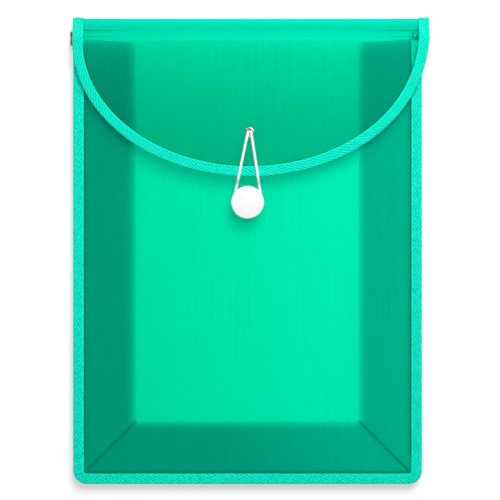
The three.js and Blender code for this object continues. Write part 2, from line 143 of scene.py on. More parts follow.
class Shader:
    """A material in the making: it makes nodes, sets them and joins them."""

    def __init__(self, name: str) -> None:
        """Starts an empty material.

        Args:
            name: the material's name.
        """
        self.material = bpy.data.materials.new(name)
        self.material.use_nodes = True
        self.tree = self.material.node_tree
        self.tree.nodes.clear()

    def node(
        self, kind: str, settings: dict | None = None, inputs: dict | None = None
    ) -> bpy.types.Node:
        """Makes a node.

        Args:
            kind: the node's type.
            settings: its properties, such as a Math node's operation, which are set first.
            inputs: values or links for its sockets, by name or number.

        Returns:
            The node.
        """
        node = self.tree.nodes.new(kind)
        for key, value in (settings or {}).items():
            setattr(node, key, value)
        for key, value in (inputs or {}).items():
            if isinstance(value, Signal):
                value = value.socket
            if isinstance(value, bpy.types.NodeSocket):
                self.tree.links.new(value, node.inputs[key])
            else:
                node.inputs[key].default_value = value
        return node

    def value(
        self,
        kind: str,
        output: str | int,
        settings: dict | None = None,
        inputs: dict | None = None,
    ) -> Signal:
        """One output, by name or number, of a new node with these settings and inputs."""
        return Signal(self, self.node(kind, settings, inputs).outputs[output])

    def mark(self, name: str) -> Signal:
        """The piece's own mark of this name, a number at each of its points."""
        return self.value("ShaderNodeAttribute", "Fac", {"attribute_name": name})

    def place(self, stretch: Place = (1, 1, 1)) -> bpy.types.NodeSocket:
        """Where a point is on the piece, with each axis multiplied by stretch."""
        where = self.node("ShaderNodeTexCoord").outputs["Object"]
        return self.node("ShaderNodeMapping", None, {"Vector": where, "Scale": stretch}).outputs[0]

    def cloth(self) -> tuple[Signal, Signal]:
        """Reads the piece's own cloth map.

        Returns:
            The distances across and along the cloth, in millimetres.
        """
        uv = self.node("ShaderNodeUVMap", {"uv_map": "cloth"}).outputs[0]
        split = self.node("ShaderNodeSeparateXYZ", None, {0: uv})
        return Signal(self, split.outputs[0]) * (1 / MM), Signal(self, split.outputs[1]) * (1 / MM)

    def noise(self, scale: float, detail: float = 2.0, stretch: Place = (1, 1, 1)) -> Signal:
        """Soft random grain with scale lumps a metre and detail octaves, stretched by axis."""
        inputs = {"Vector": self.place(stretch), "Scale": scale, "Detail": detail}
        return self.value("ShaderNodeTexNoise", 0, None, inputs)

    def blend(
        self, factor: Signal | float, low: Colour | bpy.types.NodeSocket, high: Colour
    ) -> bpy.types.NodeSocket:
        """Mixes two colours.

        Args:
            factor: 0 for the low colour and 1 for the high one.
            low: the first colour, or a socket that carries it.
            high: the second colour.

        Returns:
            The socket that carries the mixed colour.
        """
        first = low if isinstance(low, bpy.types.NodeSocket) else (*low, 1.0)
        inputs = {0: factor, 6: first, 7: (*high, 1.0)}
        return self.node("ShaderNodeMix", {"data_type": "RGBA"}, inputs).outputs[2]

    def bump(self, height: Signal, distance: float, strength: float) -> bpy.types.NodeSocket:
        """The normal of a relief whose height, 0 to 1, stands for a distance in metres."""
        inputs = {"Strength": strength, "Distance": distance, "Height": height}
        return self.node("ShaderNodeBump", None, inputs).outputs[0]

    def surface(self, inputs: dict) -> bpy.types.Node:
        """The general surface shader, with these inputs."""
        return self.node("ShaderNodeBsdfPrincipled", None, inputs)

    def mix(
        self, factor: Signal | float, low: bpy.types.Node, high: bpy.types.Node
    ) -> bpy.types.Node:
        """Two shaders mixed, the low one where the factor is 0 and the high one where it is 1."""
        inputs = {0: factor, 1: low.outputs[0], 2: high.outputs[0]}
        return self.node("ShaderNodeMixShader", None, inputs)

    def finish(self, surface: bpy.types.Node) -> bpy.types.Material:
        """The material, with its last shader joined to the output."""
        self.node("ShaderNodeOutputMaterial", None, {"Surface": surface.outputs[0]})
        return self.material


@dataclass(frozen=True)
class Tint:
    """How one face of a plastic sheet shares the light between passing it and scattering it."""

    through: Colour = (0.08, 0.975, 0.90)
    body: Colour = (0.0, 0.80, 0.49)
    solid: float = 0.10


@dataclass(frozen=True)
class Grain:
    """What is uneven in a sheet: slow clouds, fine drawn lines along it, and their relief."""

    cloud: Signal
    streak: Signal
    normal: bpy.types.NodeSocket


@dataclass(frozen=True)
class ClearSheet:
    """Frosted translucent plastic sheet: part of each face lets tinted light straight through.

    A piece with a tint-share mark has the sheet's own tint where it is 1 and the clear tint where
    it is 0. A "crease" mark is 1 along creases, mitres and the tapes' inner edges, where a dark
    layer is mixed in as painted shade.
    """

    name: str
    tint: Tint = Tint()
    clear: Tint = Tint()
    glow: float = 0.35
    roughness: float = 0.40
    refraction: float = 1.49
    sheen: Colour = (0.02, 0.9, 0.75)
    clouded: float = 0.93
    # The dark layer that paints shade along creases, mitres and the tapes' inner edges.
    crease_shade_colour: Colour = (0.0, 0.16, 0.10)
    crease_shade_roughness: float = 0.45
    crease_shade_share: float = 0.6
    fades: bool = False
    creased: bool = True

    def _layer(self, make: Shader, tint: Tint, grain: Grain) -> bpy.types.Node:
        """One tint of the sheet: a clear window mixed with plastic that scatters the light.

        Args:
            make: the material's maker.
            tint: the tint.
            grain: the sheet's unevenness.

        Returns:
            The shader.
        """
        cloudy = tuple(part * self.clouded for part in tint.body)
        look = {
            "Base Color": make.blend(grain.cloud.step(0.3, 0.7), cloudy, tint.body),
            "Roughness": grain.streak * 0.14 + (self.roughness - 0.07),
            "Normal": grain.normal,
            "IOR": self.refraction,
            "Specular Tint": (*self.sheen, 1.0),
        }
        lit = {"Color": (*tint.body, 1.0), "Normal": grain.normal}
        glow = make.node("ShaderNodeBsdfTranslucent", None, lit)
        frosted = make.mix(self.glow, make.surface(look), glow)
        window = make.node("ShaderNodeBsdfTransparent", None, {"Color": (*tint.through, 1.0)})
        share = grain.streak * 0.05 + grain.cloud * 0.03 + (tint.solid - 0.04)
        return make.mix(share, window, frosted)

    def material(self) -> bpy.types.Material:
        """Makes the material.

        Returns:
            The finished material.
        """
        make = Shader(self.name)
        streak = make.noise(1500.0, 3.0, (1.0, 0.008, 0.05))
        cloud = make.noise(30.0, 2.0, (1.0, 0.3, 0.5))
        dust = make.noise(4200.0)
        normal = make.bump(streak * 0.6 + cloud * 0.2 + dust * 0.2, 0.00005, 0.5)
        grain = Grain(cloud, streak, normal)
        surface = self._layer(make, self.tint, grain)
        if self.fades:
            surface = make.mix(make.mark("tint_share"), self._layer(make, self.clear, grain), surface)
        # Painted shade: a dark surface mixed in where the crease mark is 1.
        if self.creased:
            painted_shade = {
                "Base Color": (*self.crease_shade_colour, 1.0),
                "Roughness": self.crease_shade_roughness,
                "Normal": normal,
                "Specular Tint": (*self.sheen, 1.0),
            }
            share = make.mark("crease") * self.crease_shade_share
            surface = make.mix(share, surface, make.surface(painted_shade))
        return make.finish(surface)


@dataclass(frozen=True)
class TwillTape:
    """Woven binding tape: slanted cords of yarn about 2 mm apart, beaded where the weft crosses.

    A cord is a sine of the distance square to it, and a bead a sine of the distance along it.
    Noise makes the cords wander and the beads ragged. Past the selvedge the weave is plain.
    Besides the yarn's own uneven tone, the colour is painted lighter where the weave stands high
    and darker in its hollows, with painted highlights on the beads.
    """

    name: str = "twill_tape"
    low: Colour = (0.0, 0.54, 0.36)
    high: Colour = (0.0, 1.0, 0.69)
    # Painted highlight on the tops of the beads.
    glint_colour: Colour = (0.045, 1.0, 0.84)
    sheen: Colour = (0.1, 1.0, 0.85)
    gloss: Colour = (0.05, 1.0, 0.85)
    pitch: float = 1.85
    slant: float = 28.0
    bead: float = 1.25
    wander: float = 2.6
    ragged: float = 4.4
    selvedge_from: float = 6.9
    selvedge_over: float = 0.35

    def material(self) -> bpy.types.Material:
        """Makes the material.

        Returns:
            The finished material.
        """
        make = Shader(self.name)
        across, along = make.cloth()
        cosine, sine = math.cos(math.radians(self.slant)), math.sin(math.radians(self.slant))
        down = (across * cosine + along * sine) * (TURN / self.pitch)
        ply = (along * cosine - across * sine) * (TURN / self.bead)
        wobble, yarn, fuzz = make.noise(420.0), make.noise(1500.0), make.noise(4600.0, 3.0)
        cords = (down + wobble * self.wander).sine() * 0.5 + 0.5
        beads = (ply + down * 0.5 + yarn * self.ragged).sine() * 0.5 + 0.5
        start = self.selvedge_from
        edge = across.magnitude().step(start, start + self.selvedge_over)
        weave = cords * 0.30 + cords * beads * 0.70
        height = weave * (1.0 - edge * 0.6) + edge * 0.55 + fuzz * 0.22
        # Painted light and shade by the weave's height, plus the yarn's own uneven tone.
        tone = (height * 0.6 + (yarn - 0.5) * 2.4 + (fuzz - 0.5) + 0.2).step(0.05, 0.8)
        # Painted highlights where cords and beads stand highest.
        glints = (cords * beads * yarn * 1.9).step(0.4, 0.8) * (1.0 - edge * 0.5)
        body = make.blend(tone, self.low, self.high)
        cloth = {
            "Base Color": make.blend(glints * 0.85, body, self.glint_colour),
            "Roughness": 0.72,
            "Normal": make.bump(height, 0.0003, 0.9),
            "Specular Tint": (*self.gloss, 1.0),
            "Specular IOR Level": 0.3,
            "Sheen Weight": 0.15,
            "Sheen Roughness": 0.4,
            "Sheen Tint": (*self.sheen, 1.0),
        }
        return make.finish(make.surface(cloth))


@dataclass(frozen=True)
class MouldedWhite:
    """Smooth white moulded plastic with a faint unevenness."""

    name: str = "moulded_white"
    low: Colour = (0.9071, 0.911925, 0.9071)
    high: Colour = (0.94, 0.945, 0.94)

    def material(self) -> bpy.types.Material:
        """Makes the material.

        Returns:
            The finished material.
        """
        make = Shader(self.name)
        cloud = make.noise(220.0, 3.0)
        shine = {
            "Base Color": make.blend(cloud.step(0.35, 0.65), self.low, self.high),
            "Roughness": cloud * 0.1 + 0.26,
            "Normal": make.bump(make.noise(4000.0), 0.00002, 0.3),
            "IOR": 1.5,
        }
        return make.finish(make.surface(shine))


@dataclass(frozen=True)
class BraidedElastic:
    """White elastic cord covered in a close two-way braid."""

    name: str = "braided_elastic"
    low: Colour = (0.93, 0.94, 0.935)
    high: Colour = (0.99, 0.99, 0.99)
    pitch: float = 0.8

    def material(self) -> bpy.types.Material:
        """Makes the material: the braid is the higher of two slanted sines.

        Returns:
            The finished material.
        """
        make = Shader(self.name)
        across, along = make.cloth()
        one = ((across + along) * (TURN / self.pitch)).sine()
        other = ((across - along) * (TURN / self.pitch)).sine()
        height = (one.peak(other) * 0.5 + 0.5) * 0.8 + make.noise(7000.0) * 0.2
        # Painted shade: the colour follows the braid's height, a little darker in its hollows.
        cloth = {
            "Base Color": make.blend(height.step(0.3, 0.9), self.low, self.high),
            "Roughness": 0.8,
            "Normal": make.bump(height, 0.00008, 0.5),
            "Sheen Weight": 0.2,
        }
        return make.finish(make.surface(cloth))


@dataclass(frozen=True)
class NickelPlate:
    """Nickel plate with fine rubbing marks and slightly dulled patches."""

    name: str = "nickel_plate"
    low: Colour = (0.26, 0.20, 0.17)
    high: Colour = (0.66, 0.60, 0.55)

    def material(self) -> bpy.types.Material:
        """Makes the material.

        Returns:
            The finished material.
        """
        make = Shader(self.name)
        patches = make.noise(420.0, 3.0)
        rub = make.noise(3000.0, 2.0, (1.0, 0.15, 1.0))
        metal = {
            "Base Color": make.blend(patches.step(0.3, 0.7), self.low, self.high),
            "Metallic": 1.0,
            "Roughness": patches * 0.16 + rub * 0.1 + 0.14,
            "Normal": make.bump(rub, 0.00003, 0.4),
        }
        return make.finish(make.surface(metal))


@dataclass
class Mesh:
    """Points and faces of a piece while it is worked out, in millimetres."""

    points: np.ndarray
    faces: list[np.ndarray]
    cloth: np.ndarray | None = None
    marks: dict[str, np.ndarray] = field(default_factory=dict)

    def __add__(self, other: "Mesh") -> "Mesh":
        """Joins two meshes into one piece.

        Args:
            other: the mesh whose points and faces come after this one's.

        Returns:
            The joined mesh.
        """
        faces = self.faces + [part + len(self.points) for part in other.faces]
        cloth = None
        if self.cloth is not None and other.cloth is not None:
            cloth = np.concatenate([self.cloth, other.cloth])
        marks = {
            name: np.concatenate([values, other.marks[name]]) for name, values in self.marks.items()
        }
        return Mesh(np.concatenate([self.points, other.points]), faces, cloth, marks)

    def turned(self, pivot: Sequence[float], axis: int, degrees: float) -> "Mesh":
        """Turns the mesh about a line along one axis.

        Args:
            pivot: a point of the line.
            axis: 0 for X and 1 for Y.
            degrees: how far, by the right-hand rule.

        Returns:
            The turned mesh.
        """
        angle = math.radians(degrees)
        one, two = ((1, 2), (2, 0))[axis]
        moved = self.points - pivot
        turned = moved.copy()
        turned[:, one] = moved[:, one] * math.cos(angle) - moved[:, two] * math.sin(angle)
        turned[:, two] = moved[:, one] * math.sin(angle) + moved[:, two] * math.cos(angle)
        return Mesh(turned + pivot, self.faces, self.cloth, self.marks)

    def shifted(self, x: float, y: float, z: float) -> "Mesh":
        """The mesh moved by x, y and z."""
        return Mesh(self.points + (x, y, z), self.faces, self.cloth, self.marks)

    def outward(self) -> "Mesh":
        """Points the faces of a closed mesh outwards.

        The volume is a sixth of the sum of each corner triangle's triple product, and where it
        comes out negative every face is turned over.

        Returns:
            The mesh with its faces outwards.
        """
        middle = self.points.mean(axis=0)
        total = 0.0
        for part in self.faces:
            corner = self.points[part] - middle
            for one in range(1, part.shape[1] - 1):
                cross = np.cross(corner[:, one], corner[:, one + 1])
                total += float(np.einsum("ij,ij->", corner[:, 0], cross))
        if total < 0:
            return Mesh(self.points, [part[:, ::-1] for part in self.faces], self.cloth, self.marks)
        return self

    def piece(self, name: str, material: bpy.types.Material) -> bpy.types.Object:
        """Makes the Blender object, smooth shaded, at the origin.

        Args:
            name: the piece's name.
            material: its finish.

        Returns:
            The object.
        """
        mesh = bpy.data.meshes.new(name)
        corners = np.concatenate([part.ravel() for part in self.faces]).astype(np.int32)
        sizes = np.concatenate([np.full(len(part), part.shape[1]) for part in self.faces])
        starts = np.concatenate([[0], np.cumsum(sizes)[:-1]]).astype(np.int32)
        mesh.vertices.add(len(self.points))
        mesh.vertices.foreach_set("co", (self.points * MM).astype(np.float32).ravel())
        mesh.loops.add(len(corners))
        mesh.loops.foreach_set("vertex_index", corners)
        mesh.polygons.add(len(starts))
        mesh.polygons.foreach_set("loop_start", starts)
        mesh.polygons.foreach_set("use_smooth", np.ones(len(starts), dtype=bool))
        mesh.update(calc_edges=True)
        if self.cloth is not None:
            layer = mesh.uv_layers.new(name="cloth")
            layer.data.foreach_set("uv", (self.cloth[corners] * MM).astype(np.float32).ravel())
        for label, values in self.marks.items():
            attribute = mesh.attributes.new(label, "FLOAT", "POINT")
            attribute.data.foreach_set("value", values.astype(np.float32))
        mesh.validate()
        mesh.set_sharp_from_angle(angle=SHARP_ANGLE)
        thing = bpy.data.objects.new(name, mesh)
        thing.data.materials.append(material)
        bpy.context.scene.collection.objects.link(thing)
        return thing

    def dressed(
        self, name: str, material: bpy.types.Material, slot: Slot, *nodes: str
    ) -> bpy.types.Object:
        """Makes the piece that stands for nodes of the frame.

        Args:
            name: the piece's name.
            material: its finish.
            slot: what it is made of; not used.
            nodes: the nodes that it replaces.

        Returns:
            The object, which doesn't yet ride on a body.
        """
        thing = self.piece(name, material)
        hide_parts(*nodes)
        return thing


def grid_faces(
    rows: int, columns: int, round_rows: bool = False, round_columns: bool = False
) -> np.ndarray:
    """Four-sided faces between the points of a grid that is stored row after row.

    Args:
        rows: points one way.
        columns: points the other way.
        round_rows: whether the last row meets the first.
        round_columns: whether the last column meets the first.

    Returns:
        One row of four point numbers for each face.
    """
    row = np.arange(rows if round_rows else rows - 1)
    column = np.arange(columns if round_columns else columns - 1)
    here, across = np.meshgrid(row, column, indexing="ij")
    down, right = (here + 1) % rows, (across + 1) % columns
    first, second = here * columns, down * columns
    corners = (first + across, first + right, second + right, second + across)
    return np.stack(corners, axis=-1).reshape(-1, 4)


def lengths(path: np.ndarray) -> np.ndarray:
    """Distance along a path to each of its points: the running sum of its steps."""
    steps = np.linalg.norm(np.diff(path, axis=0), axis=1)
    return np.concatenate([[0.0], np.cumsum(steps)])


def evenly(path: np.ndarray, step: float) -> np.ndarray:
    """Spaces a path's points evenly, reading them off the straight lines between its own.

    Args:
        path: its points.
        step: about how far apart the new points are.

    Returns:
        The new points, with both ends kept.
    """
    along = lengths(path)
    count = max(2, int(round(along[-1] / step)) + 1)
    wanted = np.linspace(0.0, along[-1], count)
    return np.stack([np.interp(wanted, along, values) for values in path.T], axis=1)


def arc(centre: Sequence[float], radius: float, start: float, end: float, count: int) -> np.ndarray:
    """Points on a circle: centre plus radius times the cosine and sine of angles in degrees."""
    angle = np.radians(np.linspace(start, end, count))
    return np.stack([np.cos(angle), np.sin(angle)], axis=1) * radius + centre


def left_of(path: np.ndarray) -> np.ndarray:
    """Finds which way is left all along a flat path, as the central difference, turned left.

    Args:
        path: its points.

    Returns:
        A unit vector for each point.
    """
    way = np.gradient(path[:, :2], axis=0)
    way /= np.linalg.norm(way, axis=1, keepdims=True)
    return np.stack([-way[:, 1], way[:, 0]], axis=1)


def revolve(profile: np.ndarray, centre: Sequence[float], base: float, steps: int) -> Mesh:
    """A closed profile turned round an upright line.

    Each point is centre plus its radius times the cosine and sine of the angle, at its height.

    Args:
        profile: radius and height of each point. A point at radius 0 closes the shape.
        centre: where the line stands.
        base: height of the profile's zero.
        steps: points round.

    Returns:
        The mesh.
    """
    looped = bool(np.allclose(profile[0], profile[-1]))
    rings = profile[:-1] if looped else profile
    angle = np.linspace(0.0, TURN, steps, endpoint=False)
    x = centre[0] + np.outer(rings[:, 0], np.cos(angle))
    y = centre[1] + np.outer(rings[:, 0], np.sin(angle))
    z = np.repeat((rings[:, 1] + base)[:, None], steps, axis=1)
    points = np.stack([x, y, z], axis=-1).reshape(-1, 3)
    return Mesh(points, [grid_faces(len(rings), steps, looped, True)]).outward()


def slab(
    upper: np.ndarray,
    lower: np.ndarray,
    marks: dict[str, np.ndarray] | None = None,
    ring: bool = False,
) -> Mesh:
    """A thin solid between two grids of points, with a wall round the rim.

    Args:
        upper: a grid of points, rows by columns by 3.
        lower: the grid of the other face, which matches it.
        marks: named values for the grid's points, the same on both faces.
        ring: whether the last column meets the first, with walls on the first and last rows.

    Returns:
        The mesh.
    """
    rows, columns = upper.shape[:2]
    face = grid_faces(rows, columns, False, ring)
    count = rows * columns
    number = np.arange(count).reshape(rows, columns)
    if ring:
        walls = [(number[0], np.roll(number[0], -1)), (np.roll(number[-1], -1), number[-1])]
    else:
        rim = np.concatenate([number[0, :-1], number[:-1, -1], number[-1, :0:-1], number[:0:-1, 0]])
        walls = [(rim, np.roll(rim, -1))]
    sides = [np.stack([here, here + count, ahead + count, ahead], axis=1) for here, ahead in walls]
    points = np.concatenate([upper.reshape(-1, 3), lower.reshape(-1, 3)])
    values = {name: np.tile(mark.ravel(), 2) for name, mark in (marks or {}).items()}
    return Mesh(points, [face, face[:, ::-1] + count, *sides], None, values).outward()


def strip_along(
    route: np.ndarray,
    section: np.ndarray,
    mid: float,
    across: np.ndarray,
    wave: np.ndarray | float = 0.0,
) -> Mesh:
    """A closed section carried along a flat route, with flat ends.

    Each point is the route's point plus the section's first number times the vector to the left
    of the route, at mid plus its second number.

    Args:
        route: points on the floor plan.
        section: the section's points, distance in from the route and height.
        mid: height of the section's zero.
        across: the cloth map's distance across for each of the section's points.
        wave: added to the section's first number, route by section.

    Returns:
        The mesh, with its cloth map.
    """
    rows, columns = len(route), len(section)
    inward = section[None, :, 0] + wave
    side = left_of(route)
    x = route[:, None, 0] + side[:, None, 0] * inward
    y = route[:, None, 1] + side[:, None, 1] * inward
    z = np.broadcast_to(mid + section[None, :, 1], (rows, columns))
    points = np.stack([x, y, z], axis=-1).reshape(-1, 3)
    along = np.repeat(lengths(route)[:, None], columns, axis=1)
    cloth = np.stack([np.broadcast_to(across, (rows, columns)), along], axis=-1).reshape(-1, 2)
    cap = np.arange(columns)
    half = columns // 2
    left, right = cap[: half - 1], cap[::-1][: half - 1]
    ladder = np.stack([left, left + 1, right - 1, right], axis=1)
    far = ladder + (rows - 1) * columns
    faces = [grid_faces(rows, columns, False, True), ladder[:, ::-1], far]
    return Mesh(points, faces, cloth).outward()


@dataclass
class TapedSheet:
    """A flat sheet with one round hole, held by tape along every edge but its straight top.

    Every point lies on a straight line from the hole's centre to a point of the outline. The
    outer rings lie where those lines are at set depths inside the outline, close together where
    the tape ends, and the others share out the rest. The mark "crease" paints shade along the
    tape's inner edge: it follows the darks over those depths, times a sine that beats with the
    tape's scallops.
    """

    hole: Pair
    radius: float
    low: float
    thick: float
    step: float = 0.8
    bare_top: float = 0.5
    rings: int = 14
    crowding: float = 1.4
    least_turn: float = 0.3
    scallop: float = 2.35
    depths: tuple[float, ...] = (0.0, 5.6, 6.3, 6.55, 6.75, 6.95, 7.15, 7.4, 7.8, 8.6)
    # Painted shade along the tape's inner edge: how dark it is at each depth.
    darks: tuple[float, ...] = (0.0, 0.0, 0.4, 0.85, 1.0, 0.95, 0.7, 0.3, 0.1, 0.0)

    def mesh(self, route: np.ndarray) -> Mesh:
        """Makes the sheet.

        Args:
            route: points round the edge from one end of the top to the other, with the sheet on
                their left.

        Returns:
            The mesh, with its "crease" mark.
        """
        outline = evenly(np.concatenate([route, route[:1]]), self.step)[:-1]
        taped = (outline[:, 1] < route[0, 1] - self.bare_top).astype(float)
        way = np.roll(outline, -1, axis=0) - np.roll(outline, 1, axis=0)
        way /= np.linalg.norm(way, axis=1, keepdims=True)
        side = np.stack([-way[:, 1], way[:, 0]], axis=1)
        away = outline - self.hole
        away /= np.linalg.norm(away, axis=1, keepdims=True)
        square = np.clip(-np.einsum("ij,ij->i", side, away), self.least_turn, 1.0)
        runs = np.array(self.depths)[:, None] / square[None]
        outer = outline[None] - away[None] * runs[..., None]
        rim = self.hole + self.radius * away
        part = np.linspace(1.0, 0.0, self.rings + 1)[1:, None, None] ** self.crowding
        flat = np.concatenate([outer, rim[None] * (1 - part) + outer[-1][None] * part])
        # Painted shade beside the tape, stronger and weaker in a beat with the scallops.
        beat = 0.75 + 0.25 * np.sin(TURN * lengths(outline) / self.scallop)
        mark = np.zeros(flat.shape[:2])
        mark[: len(self.darks)] = np.array(self.darks)[:, None] * (taped * beat)[None]
        lower = np.concatenate([flat, np.full((*flat.shape[:2], 1), self.low)], axis=2)
        return slab(lower + (0, 0, self.thick), lower, {"crease": mark}, True)


@dataclass(frozen=True)
class TapeEnd:
    """How a tape ends where it meets the next one at a crease.

    Its upper leg is pressed lower, its lowest line is cut back as on a slant, and its highest
    line is drawn out over the crease.
    """

    pressed: float = 0.0
    cut: float = 0.0
    over: float = 0.0


@dataclass
class TapeWeave:
    """The binding tape folded over an edge: its width, its fold and its scalloped rims.

    At a crease the tape is pressed down to a depth below its top, over a reach from its end.
    """

    width: float = 7.5
    thick: float = 0.45
    crown: float = 0.14
    repeat: float = 4.75
    scallop: float = 0.13
    back_scallop: float = 0.6
    rim: float = 1.5
    step: float = 0.75
    press_depth: float = 0.65
    press_reach: float = 1.1
    slant_reach: float = 2.2
    leg_points: int = 13
    back_points: int = 9
    finish: TwillTape = TwillTape()

    def section(self, half: float) -> tuple[np.ndarray, np.ndarray]:
        """The tape's closed section and its cloth distances.

        The outer line is a leg whose height falls off by the square of the distance from the
        leg's middle, a half circle of radius half, and the same leg below. The inner line
        returns at one thickness inside.

        Args:
            half: half the height of the folded tape.

        Returns:
            Points as distance in and height, and the distance across the cloth of each.
        """
        leg = np.linspace(self.width, half, self.leg_points)
        middle, reach = (self.width + half) / 2, (self.width - half) / 2
        fall = self.crown * np.clip((leg - middle) / reach, 0, 1) ** 2
        turn = np.radians(np.linspace(90.0, 270.0, self.back_points))[1:-1]
        upper = np.stack([leg, half - fall], axis=1)
        back = np.stack([half + half * np.cos(turn), half * np.sin(turn)], axis=1)
        outer = np.concatenate([upper, back, upper[::-1] * (1, -1)])
        inside = half - self.thick
        flat = np.stack([leg, np.full_like(leg, inside)], axis=1)
        bend = np.stack([half + inside * np.cos(turn), inside * np.sin(turn)], axis=1)
        inner = np.concatenate([flat, bend, flat[::-1] * (1, -1)])
        across = lengths(outer)
        across = across[-1] / 2 - across
        return np.concatenate([outer, inner[::-1]]), np.concatenate([across, across[::-1]])

    def along(
        self,
        route: np.ndarray,
        half: float,
        mid: float,
        start: TapeEnd = TapeEnd(),
        end: TapeEnd = TapeEnd(),
    ) -> Mesh:
        """The tape along a route, its rims and its back scalloped by sines of the distance.

        Args:
            route: points on the floor plan, with the sheet on its left.
            half: half the height of the folded tape.
            mid: height of the sheet's middle.
            start: how the tape ends at the route's first point.
            end: how it ends at the last.

        Returns:
            The mesh.
        """
        fine = evenly(route, self.step)
        section, across = self.section(half)
        beat = TURN * lengths(fine)[:, None] / self.repeat
        rim = np.clip((section[None, :, 0] - self.width + self.rim) / self.rim, 0, 1) ** 2
        back = np.clip(1 - section[None, :, 0] / (2 * half), 0, 1)
        rounds = self.back_scallop * back * (0.5 + 0.5 * np.sin(beat))
        wave = self.scallop * (rim * np.sin(2 * beat) + rounds)
        mesh = strip_along(fine, section, mid, across, wave)
        run = np.repeat(lengths(fine), len(section))
        ends = ((start, run, fine[1] - fine[0]), (end, run[-1] - run, fine[-2] - fine[-1]))
        upper = mesh.points[:, 2] - mid > half - self.press_depth
        for shape, near, _ in ends:
            sink = shape.pressed * np.clip(1 - near / self.press_reach, 0, 1) ** 0.5
            mesh.points[:, 2] -= np.where(upper, sink, 0.0)
        level = (mesh.points[:, 2] - mid) / half
        for shape, near, step in ends:
            share = shape.cut * np.clip(-level, 0, 1) - shape.over * np.clip(level, 0, 1)
            share = share * np.clip(1 - near / self.slant_reach, 0, 1)
            mesh.points[:, :2] += share[:, None] * step / np.linalg.norm(step)
        return mesh


@dataclass
class Pocket:
    """The back and front panels with the tape round each."""

    width: float = 250.0
    corner: float = 9.6
    corner_points: int = 24
    bottom: float = -167.0
    sheet: float = 0.6
    inset: float = 0.95
    tape_half: float = 1.1
    tops: dict[Layer, float] = field(
        default_factory=lambda: {Layer.BACK: 158.5, Layer.FRONT: 151.0}
    )
    lows: dict[Layer, float] = field(default_factory=lambda: {Layer.BACK: 1.05, Layer.FRONT: 7.25})
    tape_tops: dict[Layer, float] = field(
        default_factory=lambda: {Layer.BACK: 157.9, Layer.FRONT: 151.0}
    )
    tape_mids: dict[Layer, float] = field(
        default_factory=lambda: {Layer.BACK: 1.6, Layer.FRONT: 7.3}
    )
    button: Pair = (0.0, 34.9)
    post_hole: float = 2.5
    closed_hole: float = 0.02
    # Painted light: how far each side of the middle the panels get paler to the right.
    paler_half: float = 60.0
    finish: ClearSheet = ClearSheet(
        "clear_sheet",
        Tint((0.08, 0.970, 0.888), (0.0, 0.79, 0.48), 0.10),
        Tint((0.08, 0.982, 0.912), (0.0, 0.82, 0.51), 0.10),
        fades=True,
    )

    def route(self, top: float, inset: float = 0.0) -> np.ndarray:
        """The U down the left, round both corners and up the right.

        Args:
            top: the y of both ends.
            inset: how far inside the edge it runs.

        Returns:
            Its points.
        """
        edge, radius = self.width / 2 - inset, self.corner - inset
        middle, x = self.bottom + self.corner, edge - radius
        turns = [
            np.array([[-edge, top]]),
            arc((-x, middle), radius, 180, 270, self.corner_points),
            arc((x, middle), radius, 270, 360, self.corner_points),
            np.array([[edge, top]]),
        ]
        return np.concatenate(turns)

    def panel(self, layer: Layer) -> Mesh:
        """A panel, with the post's hole in the front one and a point's worth of one behind.

        Painted light: its tint gets evenly paler from left to right over the middle, standing in
        for the stronger light that comes through the wallet on the right.

        Args:
            layer: which panel.

        Returns:
            The mesh.
        """
        hole = self.post_hole if layer is Layer.FRONT else self.closed_hole
        sheet = TapedSheet(self.button, hole, self.lows[layer], self.sheet)
        mesh = sheet.mesh(self.route(self.tops[layer], self.inset))
        # Painted light: less of the sheet's own tint towards the right.
        mesh.marks["tint_share"] = 0.5 - 0.5 * np.clip(mesh.points[:, 0] / self.paler_half, -1, 1)
        return mesh

    def build(self, weave: TapeWeave, woven: bpy.types.Material) -> list[bpy.types.Object]:
        """Makes both panels and their tapes.

        Args:
            weave: the tape's maker.
            woven: the tape's finish.

        Returns:
            The pieces.
        """
        clear = self.finish.material()
        made = []
        for layer in Layer:
            name = layer.value
            panel = self.panel(layer)
            made.append(panel.dressed(f"{name}_sheet", clear, Slot.SHEET, f"{name}_panel"))
            route = self.route(self.tape_tops[layer])
            tape = weave.along(route, self.tape_half, self.tape_mids[layer])
            made.append(tape.dressed(f"{name}_tape", woven, Slot.TAPE, f"{name}_binding"))
            for piece in made[-2:]:
                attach(piece, name)
        return made


